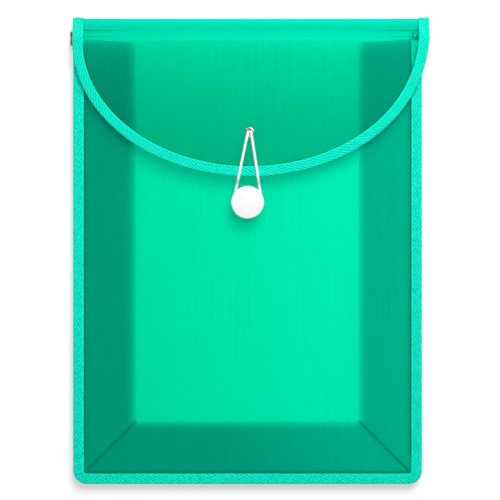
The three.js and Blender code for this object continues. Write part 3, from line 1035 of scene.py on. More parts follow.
@dataclass
class Gusset:
    """The folded sides and bottom: a back and a front leaf on each, mitred at the corners."""

    depth: float = 37.0
    thick: float = 0.4
    root_x: float = 117.2
    root_y: float = -159.2
    angle: float = 3.331
    levels: dict[Layer, float] = field(
        default_factory=lambda: {Layer.BACK: 1.95, Layer.FRONT: 6.95}
    )
    chamfer: float = 1.6
    gap: float = 0.1
    side_top: float = 152.2
    top_drop: float = 2.5
    bow: float = 0.12
    # Painted shade: the width of the dark strip along the mitre.
    mitre: float = 1.3
    rows: int = 60
    columns: int = 38
    left_fade: float = 8.5
    right_fade: float = 6.5
    bottom_fade: float = 6.5
    top_fade: float = 13.0
    top_tint: float = 0.6
    # Painted light: how much paler the leaves get towards the right and below their top.
    paler: float = 0.43
    paler_below: float = 40.0
    paler_from: float = -20.0
    paler_over: float = 130.0
    hem: ClearSheet = ClearSheet("hem_sheet", creased=False)
    finish: ClearSheet = ClearSheet(
        "gusset_sheet",
        Tint((0.06, 0.909, 0.939), (0.0, 0.52, 0.39), 0.155),
        Tint((0.30, 0.99, 0.985), (0.0, 0.85, 0.66), 0.05),
        crease_shade_share=0.4,
        fades=True,
    )

    def leaf(
        self,
        low: Callable[[np.ndarray], np.ndarray],
        high: Callable[[np.ndarray], np.ndarray],
        fade: float,
        top_fade: float = 0.0,
    ) -> Mesh:
        """One leaf lying flat: x runs from the hinge to the inner fold, y between two edges.

        Its rows follow a cosine, close together at both edges, and both faces rise by the bow
        times the sine of the share of the depth. The tint-share mark falls by a square to 0 at the
        inner fold and to the top tint at the upper edge, and "crease" is 1 along the low edge, the
        mitre, where it paints shade.

        Args:
            low: the y of the leaf's low edge at each x.
            high: the y of its high edge.
            fade: how far from the inner fold the leaf has its full tint.
            top_fade: how far below its high edge the leaf reaches its full tint.

        Returns:
            The mesh.
        """
        reach = np.linspace(0.0, self.depth, self.columns)
        share = 0.5 - 0.5 * np.cos(np.linspace(0.0, np.pi, self.rows))[:, None]
        start, end = low(reach)[None, :], high(reach)[None, :]
        y = start + (end - start) * share
        x = np.broadcast_to(reach[None, :], y.shape)
        z = np.broadcast_to(self.bow * np.sin(np.pi * reach / self.depth)[None, :], y.shape)
        middle = np.stack([x, y, z], axis=-1)
        tint_share = 1 - np.clip((x - self.depth + fade) / fade, 0, 1) ** 2
        if top_fade:
            near = np.clip(1 - (end - y) / top_fade, 0, None)
            tint_share = tint_share * (1 - (1 - self.top_tint) * near**2)
        # Painted shade: the crease mark darkens a strip along the mitre.
        marks = {"tint_share": tint_share, "crease": np.clip(1 - (y - start) / self.mitre, 0, 1)}
        return slab(middle + (0, 0, self.thick / 2), middle - (0, 0, self.thick / 2), marks)

    def side_leaf(self, fade: float) -> Mesh:
        """A side leaf, mitred below and falling at its top edge.

        Args:
            fade: how far from the inner fold it has its full tint.

        Returns:
            The mesh, lying flat.
        """
        lean = math.cos(math.radians(self.angle))

        def low(x: np.ndarray) -> np.ndarray:
            """The mitre at 45 degrees, squared off at the corner."""
            return np.maximum(x * lean, self.chamfer) + self.gap

        def high(x: np.ndarray) -> np.ndarray:
            """The upper edge, which drops evenly."""
            return self.side_top - self.root_y - self.top_drop * x / self.depth

        return self.leaf(low, high, fade, self.top_fade)

    def bottom_leaf(self) -> Mesh:
        """The bottom leaf, made like a side leaf with both ends mitred, then laid across.

        Returns:
            The mesh, lying flat.
        """
        lean = math.cos(math.radians(self.angle))

        def low(x: np.ndarray) -> np.ndarray:
            """The left mitre."""
            return -(self.root_x - np.maximum(x * lean, self.chamfer) - self.gap)

        def high(x: np.ndarray) -> np.ndarray:
            """The right mitre."""
            return -low(x)

        flat = self.leaf(low, high, self.bottom_fade)
        # Painted shade along both mitres of the bottom leaf.
        crease = flat.marks["crease"]
        mirrored = crease.reshape(2, self.rows, self.columns)[:, ::-1].ravel()
        marks = {**flat.marks, "crease": np.maximum(crease, mirrored)}
        return Mesh(flat.points[:, [1, 0, 2]], flat.faces, None, marks).outward()

    def build(self) -> list[bpy.types.Object]:
        """Makes the six leaves, and gives the two hems inside the tapes their finish.

        Returns:
            The pieces.
        """
        tinted, cut = self.finish.material(), self.hem.material()
        made = []
        for layer, lean in ((Layer.BACK, 1), (Layer.FRONT, -1)):
            level = self.levels[layer]
            for side in Side:
                way = side.value
                flat = self.side_leaf(self.left_fade if side is Side.LEFT else self.right_fade)
                leaf = Mesh(flat.points * (-way, 1, lean), flat.faces, None, flat.marks).outward()
                leaf = leaf.shifted(way * self.root_x, self.root_y, level)
                leaf = leaf.turned((way * self.root_x, 0.0, level), 1, lean * way * self.angle)
                made.append(self._dress(leaf, side.name.lower(), layer, tinted))
            flat = self.bottom_leaf()
            leaf = Mesh(flat.points * (1, 1, lean), flat.faces, None, flat.marks).outward()
            leaf = leaf.shifted(0, self.root_y, level)
            leaf = leaf.turned((0, self.root_y, level), 0, lean * self.angle)
            made.append(self._dress(leaf, "bottom", layer, tinted))
            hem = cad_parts[f"{layer.value}_gusset_hem"].data
            hem.materials.clear()
            hem.materials.append(cut)
        return made

    def _dress(
        self, mesh: Mesh, place: str, layer: Layer, finish: bpy.types.Material
    ) -> bpy.types.Object:
        """Makes one leaf's piece, paler to the right as painted light, where more light comes
        through.

        Args:
            mesh: the leaf.
            place: its side's name.
            layer: the panel that it hangs on.
            finish: its material.

        Returns:
            The piece.
        """
        # Painted light: the leaf's tint thins out to the right and below its top.
        share = np.clip((mesh.points[:, 0] - self.paler_from) / self.paler_over, 0, 1)
        below = np.clip((self.side_top - mesh.points[:, 1]) / self.paler_below, 0, 1)
        mesh.marks["tint_share"] = mesh.marks["tint_share"] * (1 - self.paler * share * below)
        node = f"{place}_gusset_{layer.value}_leaf"
        leaf = mesh.dressed(f"{place}_{layer.value}_fold_sheet", finish, Slot.GUSSET, node)
        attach(leaf, f"{place}_{layer.value}_leaf")
        return leaf


@dataclass
class Flap:
    """The half-oval flap with the tape round its edge."""

    centre: float = 1.4
    half: float = 127.2
    oval_y: float = 151.0
    oval_height: float = 97.7
    oval_points: int = 181
    crease: float = 152.5
    crease_zone: float = 0.05
    tape_top: float = 152.57
    tape_end: TapeEnd = TapeEnd(0.25, 0.9)
    sheet_cut: float = 0.25
    low: float = 10.95
    thick: float = 0.6
    inset: float = 0.95
    tape_half: float = 0.85
    eyelet: Pair = (1.4, 85.0)
    hole: float = 2.6
    left_lean: float = 0.45
    right_lean: float = 1.8
    lean_from: float = 90.0
    # Painted light: the tint is full below this height and clears towards the crease.
    deep: float = 75.0
    ease: float = 1.7
    finish: ClearSheet = ClearSheet(
        "flap_sheet",
        Tint((0.07, 0.93, 0.897), (0.0, 0.49, 0.31), 0.17),
        Tint((0.08, 0.974, 0.962), (0.0, 0.77, 0.59), 0.10),
        fades=True,
    )

    def route(self, top: float, inset: float) -> np.ndarray:
        """The edge, down the left, round half an ellipse and up the right.

        Towards the crease each side leans out by the fourth power of the height.

        Args:
            top: the y of both ends.
            inset: how far inside the edge it runs.

        Returns:
            Its points.
        """
        angle = np.radians(np.linspace(180.0, 360.0, self.oval_points))
        reach = self.half - inset
        x = self.centre + reach * np.cos(angle)
        y = self.oval_y + (self.oval_height - inset) * np.sin(angle)
        left, right = [[self.centre - reach, top]], [[self.centre + reach, top]]
        edge = np.concatenate([left, np.stack([x, y], axis=1), right])
        share = np.clip((edge[:, 0] - self.centre + self.half) / (2 * self.half), 0, 1)
        lean = self.left_lean + (self.right_lean - self.left_lean) * share
        height = (edge[:, 1] - self.lean_from) / (self.crease - self.lean_from)
        edge[:, 0] += lean * np.clip(height, 0, 1) ** 4
        return edge

    def panel(self) -> Mesh:
        """The flap's sheet, whose lower face ends a little before the crease.

        Painted light: the tint-share mark falls from 1 at the deep part to 0 at the crease by a
        power of the height, so the flap shows lighter towards the crease, as if lit from above.

        Returns:
            The mesh.
        """
        sheet = TapedSheet(self.eyelet, self.hole, self.low, self.thick)
        mesh = sheet.mesh(self.route(self.crease, self.inset))
        below = mesh.points[:, 2] < self.low + self.thick / 2
        under = below & (mesh.points[:, 1] > self.crease - self.crease_zone)
        mesh.points[under, 1] -= self.sheet_cut
        # Painted light: clearer towards the crease, darker towards the deep part.
        rise = np.clip((mesh.points[:, 1] - self.deep) / (self.crease - self.deep), 0, 1)
        mesh.marks["tint_share"] = 1 - rise**self.ease
        return mesh

    def build(self, weave: TapeWeave, woven: bpy.types.Material) -> list[bpy.types.Object]:
        """Makes the flap's sheet and tape.

        Args:
            weave: the tape's maker.
            woven: the tape's finish.

        Returns:
            The pieces.
        """
        clear = self.finish.material()
        flap = self.panel().dressed("flap_sheet", clear, Slot.SHEET, "flap_panel")
        route, mid = self.route(self.tape_top, 0.0), self.low + self.thick / 2
        tape = weave.along(route, self.tape_half, mid, self.tape_end, self.tape_end)
        band = tape.dressed("flap_tape", woven, Slot.TAPE, "flap_binding")
        for piece in (flap, band):
            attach(piece, "flap")
        return [flap, band]


@dataclass
class Spine:
    """The creased strip between the back panel and the flap, folded at the top edge."""

    left: float = -124.4
    right: float = 129.45
    columns: int = 60
    step: float = 0.35
    back_crease: Pair = (158.8, 1.35)
    flap_crease: Pair = (152.6, 11.25)
    fold: Pair = (166.2, 4.8386)
    fold_mid: float = 0.5
    fold_points: int = 14
    back_start: float = 158.5
    back_turned: float = 159.1
    front_start: float = 0.1
    sheet: float = 0.6
    slope: float = 25.24
    back_line: float = 0.3
    fold_line: float = 0.5
    line_half: float = 0.45
    line_depth: float = 0.25
    # Painted shade in the creases: least and most darkness, and where and how fast it fades from
    # the tapes.
    line_least: float = 0.04
    line_more: float = 0.86
    line_from: float = 7.5
    line_reach: float = 22.0
    slants: dict[Layer, float] = field(
        default_factory=lambda: {Layer.BACK: 8.181, Layer.FRONT: 15.036}
    )
    tape_edges: dict[Side, float] = field(
        default_factory=lambda: {Side.LEFT: -125.35, Side.RIGHT: 130.4}
    )
    tape_starts: dict[Layer, float] = field(
        default_factory=lambda: {Layer.BACK: 0.9, Layer.FRONT: 0.03}
    )
    tape_ends: dict[Layer, TapeEnd] = field(
        default_factory=lambda: {Layer.BACK: TapeEnd(), Layer.FRONT: TapeEnd(0.3, 0.9, 0.4)}
    )
    tape_half: float = 0.85
    tape_stop: float = 2.0
    tape_overlap: float = 0.15
    tube: float = 1.7
    tube_spread: float = 78.0
    tube_points: int = 9
    tube_step: float = 0.2
    smoothings: int = 3
    ease_at: float = 0.7
    ease_out: float = 0.05
    crown_from: float = 4.0
    crown_over: float = 3.5
    edge_columns: int = 6
    leg_columns: int = 14
    finish: ClearSheet = ClearSheet(
        "spine_sheet", Tint((0.08, 0.963, 0.905), (0.0, 0.69, 0.47), 0.11), crease_shade_share=0.5
    )

    def touch(self, start: Pair, side: int) -> np.ndarray:
        """Where a straight line from start touches the fold's circle.

        The line to the fold's centre is turned by the arc sine of the circle's radius over the
        distance, and runs on for the root of the difference of their squares.

        Args:
            start: y and z of the crease.
            side: -1 for the lower side of the circle and 1 for the upper.

        Returns:
            The y and z of the point.
        """
        way = np.subtract(self.fold, start)
        reach = float(np.hypot(*way))
        angle = math.atan2(way[1], way[0]) + side * math.asin(self.fold_mid / reach)
        run = math.sqrt(reach**2 - self.fold_mid**2)
        return np.array([start[0] + run * math.cos(angle), start[1] + run * math.sin(angle)])

    def sheet_along(self, line: np.ndarray, creases: Sequence[float], slanted: bool) -> Mesh:
        """A sheet as wide as the spine whose middle follows a line of y and z.

        Both faces lie half a thickness away on the line's normals. Each pressed crease is a bell
        of the distance along, which draws one face in. The mark "crease" is that bell, painted
        shade in the crease, darkest beside the tapes and falling by a bell of the distance from
        them.

        Args:
            line: the middle, as y and z.
            creases: distances along the line that carry a pressed crease.
            slanted: whether the inner face ends a little before the outer one.

        Returns:
            The mesh.
        """
        fine = evenly(line, self.step)
        across = np.linspace(0.0, 1.0, self.columns)[None, :]
        row = self.left * (1 - across) + self.right * across
        x = np.broadcast_to(row, (len(fine), self.columns))
        half = left_of(fine) * self.sheet / 2
        along = lengths(fine)[:, None]
        groove = sum(np.exp(-(((along - at) / self.line_half) ** 2)) for at in creases)
        # Painted shade in the creases, darkest beside the tapes.
        from_tape = np.clip(np.minimum(x - self.left, self.right - x) - self.line_from, 0, None)
        painted_shade = self.line_least + self.line_more * np.exp(-((from_tape / self.line_reach) ** 2))
        y = np.broadcast_to(fine[:, :1], x.shape)
        z = np.broadcast_to(fine[:, 1:], x.shape)
        drawn = 1 - self.line_depth * groove
        one = np.stack([x, y + half[:, :1] * drawn, z + half[:, 1:] * drawn], axis=-1)
        other = np.stack([x, y - half[:, :1], z - half[:, 1:]], axis=-1)
        if slanted:
            one[-1] = one[-2]
            one[-2] = (one[-1] + one[-3]) / 2
        return slab(one, other, {"crease": groove * painted_shade})

    def strip_tape(self, weave: TapeWeave, side: Side, layer: Layer) -> Mesh:
        """The tape over one end of a strip, laid flat and then leant up from its crease.

        Args:
            weave: the tape's maker.
            side: which end.
            layer: which strip.

        Returns:
            The mesh.
        """
        edge, stop = self.tape_edges[side], self.slants[layer] - self.tape_stop
        route = np.array([[edge, self.tape_starts[layer]], [edge, stop]])
        ends = self.tape_ends[layer], TapeEnd()
        if side is Side.LEFT:
            route, ends = route[::-1], ends[::-1]
        flat = weave.along(route, self.tape_half, 0.0, *ends)
        crease = self.back_crease if layer is Layer.BACK else self.flap_crease
        lean = self.slope if layer is Layer.BACK else -self.slope
        return flat.turned((0, 0, 0), 0, lean).shifted(0, *crease)

    def fold_tape(self, weave: TapeWeave, side: Side) -> Mesh:
        """The tape round the fold, open towards the strips.

        Its outer line runs off one strip, round the fold's centre on an arc and on to the other
        strip, and is then smoothed. At the outer end the tape turns down over the sheet's edge
        on a quarter circle.

        Args:
            weave: the tape's maker.
            side: which end.

        Returns:
            The mesh, with its cloth map.
        """
        lean, half = math.radians(self.slope), self.tape_half
        back = np.array([-math.cos(lean), -math.sin(lean)])
        front = back * (1, -1)
        down = np.array([math.sin(lean), -math.cos(lean)])
        up = down * (1, -1)
        reach, spread = self.tape_stop + self.tape_overlap, self.tube_spread - self.slope
        near, raised = reach * self.ease_at, half + self.ease_out
        steer = np.array(
            [
                back * reach + down * half,
                back * near + down * raised,
                *arc((0, 0), self.tube, -spread, spread, self.tube_points),
                front * near + up * raised,
                front * reach + up * half,
            ]
        )
        line = evenly(steer, self.tube_step)
        for _ in range(self.smoothings):
            line[1:-1] = (line[:-2] + 2 * line[1:-1] + line[2:]) / 4
        edge = np.linspace(0, half, self.edge_columns + 1)[:-1]
        across = np.concatenate([edge, np.linspace(half, weave.width, self.leg_columns)])
        round_dip = half - np.sqrt(np.clip(half**2 - (half - across) ** 2, 0, None))
        leg_dip = weave.crown * np.clip((across - self.crown_from) / self.crown_over, 0, 1) ** 2
        dip = np.where(across < half, round_dip, leg_dip)
        normal = left_of(line)
        outer = line[:, None] + normal[:, None] * dip[None, :, None]
        inner = line[:, None] + normal[:, None] * np.maximum(dip, weave.thick)[None, :, None]
        inner[:, 0] = line + normal * half
        shape = outer.shape[:2]
        x = np.broadcast_to(self.tape_edges[side] - side.value * across, shape)[..., None]
        over = np.concatenate([x, outer + self.fold], axis=2)
        under = np.concatenate([x, inner + self.fold], axis=2)
        along = np.broadcast_to(-side.value * lengths(line)[:, None], shape)
        cloth = np.stack([np.broadcast_to(across, shape), along], axis=-1).reshape(-1, 2)
        mesh = slab(over, under)
        mesh.cloth = np.concatenate([cloth, cloth])
        return mesh

    def build(self, weave: TapeWeave, woven: bpy.types.Material) -> list[bpy.types.Object]:
        """Makes the two strips with the fold, and the tapes over their ends.

        The back strip's sheet turns where it leaves the back panel, and the front strip's sheet
        and the fold's tapes turn between the points where the strips touch the fold.

        Args:
            weave: the tape's maker.
            woven: the tape's finish.

        Returns:
            The pieces.
        """
        clear = self.finish.material()
        low, high = self.touch(self.back_crease, -1), self.touch(self.flap_crease, 1)
        rise = np.array([[self.back_start, self.back_crease[1]], self.back_crease, low])
        sheet = self.sheet_along(rise, [self.back_line], False)
        back = sheet.dressed("spine_back_sheet", clear, Slot.SHEET, "spine_back_strip")
        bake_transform(back)
        one, two = (math.degrees(math.atan2(*(at - self.fold)[::-1])) for at in (low, high))
        way = np.subtract(self.flap_crease, high)
        last = high + way * (1 - self.front_start / float(np.hypot(*way)))
        bend = arc(self.fold, self.fold_mid, one, two, self.fold_points)
        turn = np.concatenate([bend, last[None]])
        reach = float(lengths(turn)[-1])
        sheet = self.sheet_along(turn, [self.fold_line, reach - self.back_line], True)
        nodes = "spine_front_strip", "fold_ridge"
        front = sheet.dressed("spine_front_sheet", clear, Slot.SHEET, *nodes)
        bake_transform(front)
        made = [back, front]
        for side in Side:
            word = side.name.lower()
            for layer in Layer:
                name = f"spine_{layer.value}_{word}"
                tape = self.strip_tape(weave, side, layer)
                band = tape.dressed(f"{name}_band", woven, Slot.TAPE, f"{name}_tape")
                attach(band, f"spine_{layer.value}")
                made.append(band)
            tape = self.fold_tape(weave, side)
            ring = tape.dressed(f"fold_{word}_band", woven, Slot.TAPE, f"fold_{word}_tape")
            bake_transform(ring)
            made.append(ring)
        return made


@dataclass
class Clips:
    """Metal clips crimped over the top ends of the back tape."""

    edge: float = 125.0
    top: float = 157.7
    length: float = 9.6
    half: float = 1.6
    thick: float = 0.4
    jaw: float = 6.5
    back: float = -1.2
    mid: float = 1.6
    lip: float = 0.6
    lip_sink: float = 0.16
    leg_points: int = 12
    back_points: int = 17
    step: float = 0.6

    def clip(self, side: Side) -> Mesh:
        """A clip: two jaws and a round back, carried along the tape's edge.

        The outer face sinks at the jaws' lips by the square of the distance into the lip.

        Args:
            side: which end of the tape.

        Returns:
            The mesh.
        """
        turn = np.radians(np.linspace(90.0, 270.0, self.back_points))[1:-1]
        leg = np.linspace(self.jaw, self.back, self.leg_points)
        roll = self.lip_sink * np.clip((leg - self.jaw + self.lip) / self.lip, 0, 1) ** 2

        def line(radius: float, sink: np.ndarray | float) -> np.ndarray:
            """One face of the metal, a radius from the middle and less by sink on the jaws.

            Args:
                radius: the distance from the middle.
                sink: how much lower the jaws lie at each of their points.

            Returns:
                Points as distance in and height.
            """
            upper = np.stack([leg, radius - sink + 0 * leg], axis=1)
            bend = np.stack([self.back + radius * np.cos(turn), radius * np.sin(turn)], axis=1)
            return np.concatenate([upper, bend, upper[::-1] * (1, -1)])

        section = np.concatenate([line(self.half, roll), line(self.half - self.thick, 0.0)[::-1]])
        edge = side.value * self.edge
        ends = np.array([[edge, self.top], [edge, self.top - self.length]])
        route = evenly(ends if side is Side.LEFT else ends[::-1], self.step)
        return strip_along(route, section, self.mid, section[:, 0])

    def build(self, metal: bpy.types.Material) -> list[bpy.types.Object]:
        """Makes both clips.

        Args:
            metal: their finish.

        Returns:
            The pieces.
        """
        made = []
        for side in Side:
            word = side.name.lower()
            clip = self.clip(side).dressed(f"{word}_clip", metal, Slot.METAL, f"{word}_tape_clip")
            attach(clip, "back")
            made.append(clip)
        return made


@dataclass
class Closure:
    """The eyelet in the flap, the elastic loop with its knot, and the button it goes round."""

    eyelet: Pair = (1.4, 85.0)
    eyelet_points: int = 64
    flap_low: float = 10.95
    bore: float = 2.2
    barrel: float = 2.5
    lip: float = 0.7
    lip_mid: float = 2.9
    flange: float = 3.6
    washer_bore: float = 2.6
    washer_thick: float = 0.3
    washer_drop: float = 0.4
    washer_points: int = 48
    button: Pair = (0.0, 34.9)
    button_points: int = 96
    axis: float = 1e-4
    cap: float = 11.75
    cap_low: float = 10.85
    edge: float = 0.9
    edge_points: int = 12
    dome: float = 0.7
    dome_points: int = 10
    post: float = 2.4
    post_low: float = -4.9
    post_play: float = 0.1
    spacer: float = 8.9
    spacer_low: float = 7.95
    spacer_thick: float = 2.8
    waist: float = 0.25
    waist_points: int = 9
    lock: float = 5.5
    lock_low: float = 6.25
    lock_thick: float = 0.9
    bevel: float = 0.2
    cord: float = 1.0
    cord_step: float = 0.55
    cord_sides: int = 14
    spread: float = 1.05
    start_back: float = 0.5
    start_angle: float = 50.0
    bend: float = 4.0
    run: float = 13.25
    groove: float = 9.35
    fall_start: float = 32.2
    fall: float = 8.6
    wrap: float = 10.0
    climb_points: int = 12
    run_points: int = 90
    wrap_points: int = 70
    knot: float = 3.0
    knot_mid: float = 9.1
    knot_sway: float = 0.18
    knot_cord: float = 0.8
    knot_points: int = 96
    knot_sides: int = 12
    tail_cord: float = 0.95
    tail_lean: float = 0.25
    tail_points: int = 10
    white: MouldedWhite = MouldedWhite()
    braid: BraidedElastic = BraidedElastic()

    def strand(self, side: Side) -> np.ndarray:
        """One strand's middle, from the eyelet to where it touches the groove.

        It climbs on an arc, runs level, and falls on two equal parabolas.

        Args:
            side: which strand.

        Returns:
            Its points.
        """
        across = side.value * self.spread
        start = np.array([self.eyelet[0] + across, self.eyelet[1] + self.start_back])
        way = np.subtract(self.button, start)
        reach = float(np.hypot(*way))
        angle = math.atan2(way[1], way[0]) + side.value * math.asin(self.wrap / reach)
        far = math.sqrt(reach**2 - self.wrap**2)
        climb = self.bend * math.sin(math.radians(self.start_angle))
        first = np.linspace(0, climb, self.climb_points)[:-1]
        along = np.concatenate([first, np.linspace(climb, far, self.run_points)])
        lift = np.arcsin(np.clip((climb - along) / self.bend, 0, 1))
        share = np.clip((along - self.fall_start) / self.fall, 0, 1)
        ease = np.where(share < 0.5, 2 * share**2, 1 - 2 * (1 - share) ** 2)
        level = self.run + (self.groove - self.run) * ease
        height = np.where(along < climb, self.run - self.bend * (1 - np.cos(lift)), level)
        x, y = start[0] + along * math.cos(angle), start[1] + along * math.sin(angle)
        return np.stack([x, y, height], axis=1)

    def route(self) -> np.ndarray:
        """The whole loop: down the right strand, round the button's lower side, up the left.

        Returns:
            The points of the cord's middle.
        """
        right, left = self.strand(Side.RIGHT), self.strand(Side.LEFT)
        one, two = (
            math.degrees(math.atan2(way[1], way[0]))
            for way in (right[-1, :2] - self.button, left[-1, :2] - self.button)
        )
        two -= 360.0 if two > one else 0.0
        turn = arc(self.button, self.wrap, one, two, self.wrap_points)[1:-1]
        level = np.full((len(turn), 1), self.groove)
        round_button = np.concatenate([turn, level], axis=1)
        return evenly(np.concatenate([right, round_button, left[::-1]]), self.cord_step)

    @staticmethod
    def tube(path: np.ndarray, radius: float, sides: int, looped: bool = False) -> Mesh:
        """A round cord along a path in space.

        Each point is the path's point plus the radius times the cosine of the angle along the
        level normal and its sine along the other normal.

        Args:
            path: the cord's middle.
            radius: its radius.
            sides: points round.
            looped: whether the end meets the start.

        Returns:
            The mesh, with its cloth map.
        """
        if looped:
            way = np.roll(path, -1, axis=0) - np.roll(path, 1, axis=0)
        else:
            way = np.gradient(path, axis=0)
        way /= np.linalg.norm(way, axis=1, keepdims=True)
        side = np.cross(way, (0.0, 0.0, 1.0))
        side /= np.linalg.norm(side, axis=1, keepdims=True)
        over = np.cross(side, way)
        angle = np.linspace(0.0, TURN, sides + 1)[:-1]
        cosine, sine = np.cos(angle)[None, :, None], np.sin(angle)[None, :, None]
        ring = side[:, None] * cosine + over[:, None] * sine
        points = (path[:, None] + radius * ring).reshape(-1, 3)
        rows = len(path)
        around = np.broadcast_to(np.abs(angle - math.pi) * radius, (rows, sides))
        along = np.repeat(lengths(path)[:, None], sides, axis=1)
        cloth = np.stack([around, along], axis=-1).reshape(-1, 2)
        faces = [grid_faces(rows, sides, looped, True)]
        if not looped:
            first = np.arange(sides)[None, :]
            faces += [first[:, ::-1], first + (rows - 1) * sides]
        return Mesh(points, faces, cloth).outward()

    def knot_mesh(self) -> Mesh:
        """The knot behind the flap: a pressed three-lobed knot with two tails to the eyelet.

        Its middle is the sum of a circle and a circle of twice the turns, which crosses itself
        three times, and it sways up and down at three times the turn.

        Returns:
            The mesh.
        """
        turn = np.linspace(0.0, TURN, self.knot_points + 1)[:-1]
        size = (self.knot - self.knot_cord) / 3.0
        x = (np.sin(turn) + 2 * np.sin(2 * turn)) * size + self.eyelet[0]
        y = (np.cos(turn) - 2 * np.cos(2 * turn)) * size + self.eyelet[1]
        z = self.knot_mid - self.knot_sway * np.sin(3 * turn)
        knot = self.tube(np.stack([x, y, z], axis=1), self.knot_cord, self.knot_sides, True)
        rise = np.linspace(0.0, 1.0, self.tail_points)
        top = self.flap_low - 0.1 - self.knot_mid
        for side in Side:
            x = self.eyelet[0] + side.value * self.spread * (0.6 + 0.4 * rise)
            y = self.eyelet[1] + self.tail_lean * rise
            tail = np.stack([x, y, self.knot_mid + top * rise], axis=1)
            knot = knot + self.tube(tail, self.tail_cord, self.knot_sides)
        return knot

    def cap_profile(self) -> np.ndarray:
        """The cap with its post: a round edge and a dome that falls by the square of the radius.

        Returns:
            Radius and height of each point, from the foot of the post round to it again.
        """
        rim, top, soft = self.cap - self.edge, 2 * self.edge, 0.3
        swell = np.linspace(1.0, 0.0, self.dome_points)
        crown = np.stack([rim * swell, top + self.dome * (1 - swell**2)], axis=1)
        foot = [self.axis, self.post_low]
        return np.concatenate(
            [
                [foot, [self.post - soft, self.post_low], [self.post, self.post_low + soft]],
                [[self.post, -0.2], [self.post + 0.2, 0.0], [rim - 1.2, 0.0]],
                arc((rim, self.edge), self.edge, -90, 90, self.edge_points),
                crown[1:-1],
                [[self.axis, top + self.dome], foot],
            ]
        )

    def ring_profile(self, radius: float, thick: float, waist: float) -> np.ndarray:
        """A ring round the post, bevelled, whose wall draws in by half a sine.

        Args:
            radius: of its wall.
            thick: its height.
            waist: how far the wall draws in.

        Returns:
            Radius and height of each point, once round.
        """
        bore, bevel = self.post + self.post_play, self.bevel
        share = np.linspace(0.0, 1.0, self.waist_points if waist else 2)
        height = bevel + (thick - 2 * bevel) * share
        wall = np.stack([radius - waist * np.sin(np.pi * share), height], axis=1)
        foot, head = [[bore, 0.0], [radius - bevel, 0.0]], [[radius - bevel, thick], [bore, thick]]
        return np.concatenate([foot, wall, head, foot[:1]])

    def build_elastic(self) -> list[bpy.types.Object]:
        """Makes the elastic loop and its knot behind the flap.

        Returns:
            The pieces.
        """
        braided = self.braid.material()
        path = self.route()
        cord = self.tube(path, self.cord, self.cord_sides)
        loop = cord.dressed("elastic_cord", braided, Slot.ELASTIC, "elastic_loop")
        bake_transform(loop)
        tied = self.knot_mesh()
        knot = tied.dressed("elastic_stop_knot", braided, Slot.ELASTIC, "elastic_knot")
        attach(knot, "flap")
        return [loop, knot]

    def build_eyelet(self, metal: bpy.types.Material) -> list[bpy.types.Object]:
        """Makes the eyelet, whose lip is half a flattened circle, and its washer.

        Args:
            metal: their finish.

        Returns:
            The pieces.
        """
        lip = arc((self.lip_mid, self.lip), self.lip, 180, 0, self.edge_points)
        lip = lip * (1, 0.5) + (0, self.lip / 2)
        ring = np.concatenate(
            [
                [[self.bore, -0.72], [2.4, -0.75], [2.95, -0.75], [3.05, -0.65], [3.0, -0.5]],
                [[self.barrel, -0.45], [self.barrel, self.lip], [3.45, self.lip]],
                lip[::-1],
                [[self.bore, -0.72]],
            ]
        )
        turned = revolve(ring, self.eyelet, self.flap_low, self.eyelet_points)
        flange = turned.dressed("eyelet_ring", metal, Slot.METAL, "eyelet")
        bore, outside, thick = self.washer_bore, self.flange, self.washer_thick
        flat = np.array(
            [
                [bore, 0.0],
                [outside - 0.1, 0.0],
                [outside, 0.1],
                [outside, thick - 0.05],
                [outside - 0.1, thick],
                [bore, thick],
                [bore, 0.0],
            ]
        )
        low = self.flap_low - self.washer_drop
        turned = revolve(flat, self.eyelet, low, self.washer_points)
        washer = turned.dressed("eyelet_back_washer", metal, Slot.METAL, "eyelet_washer")
        for piece in (flange, washer):
            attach(piece, "flap")
        return [flange, washer]

    def build_button(self) -> list[bpy.types.Object]:
        """Makes the button's cap, the spacer that the elastic goes round, and the lock washer.

        Returns:
            The pieces.
        """
        white = self.white.material()
        parts = {
            "cap": (self.cap_profile(), self.cap_low),
            "spacer": (
                self.ring_profile(self.spacer, self.spacer_thick, self.waist),
                self.spacer_low,
            ),
            "lock_washer": (self.ring_profile(self.lock, self.lock_thick, 0.0), self.lock_low),
        }
        made = []
        for word, (profile, low) in parts.items():
            turned = revolve(profile, self.button, low, self.button_points)
            part = turned.dressed(f"closing_{word}", white, Slot.BUTTON, f"button_{word}")
            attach(part, "front")
            made.append(part)
        return made


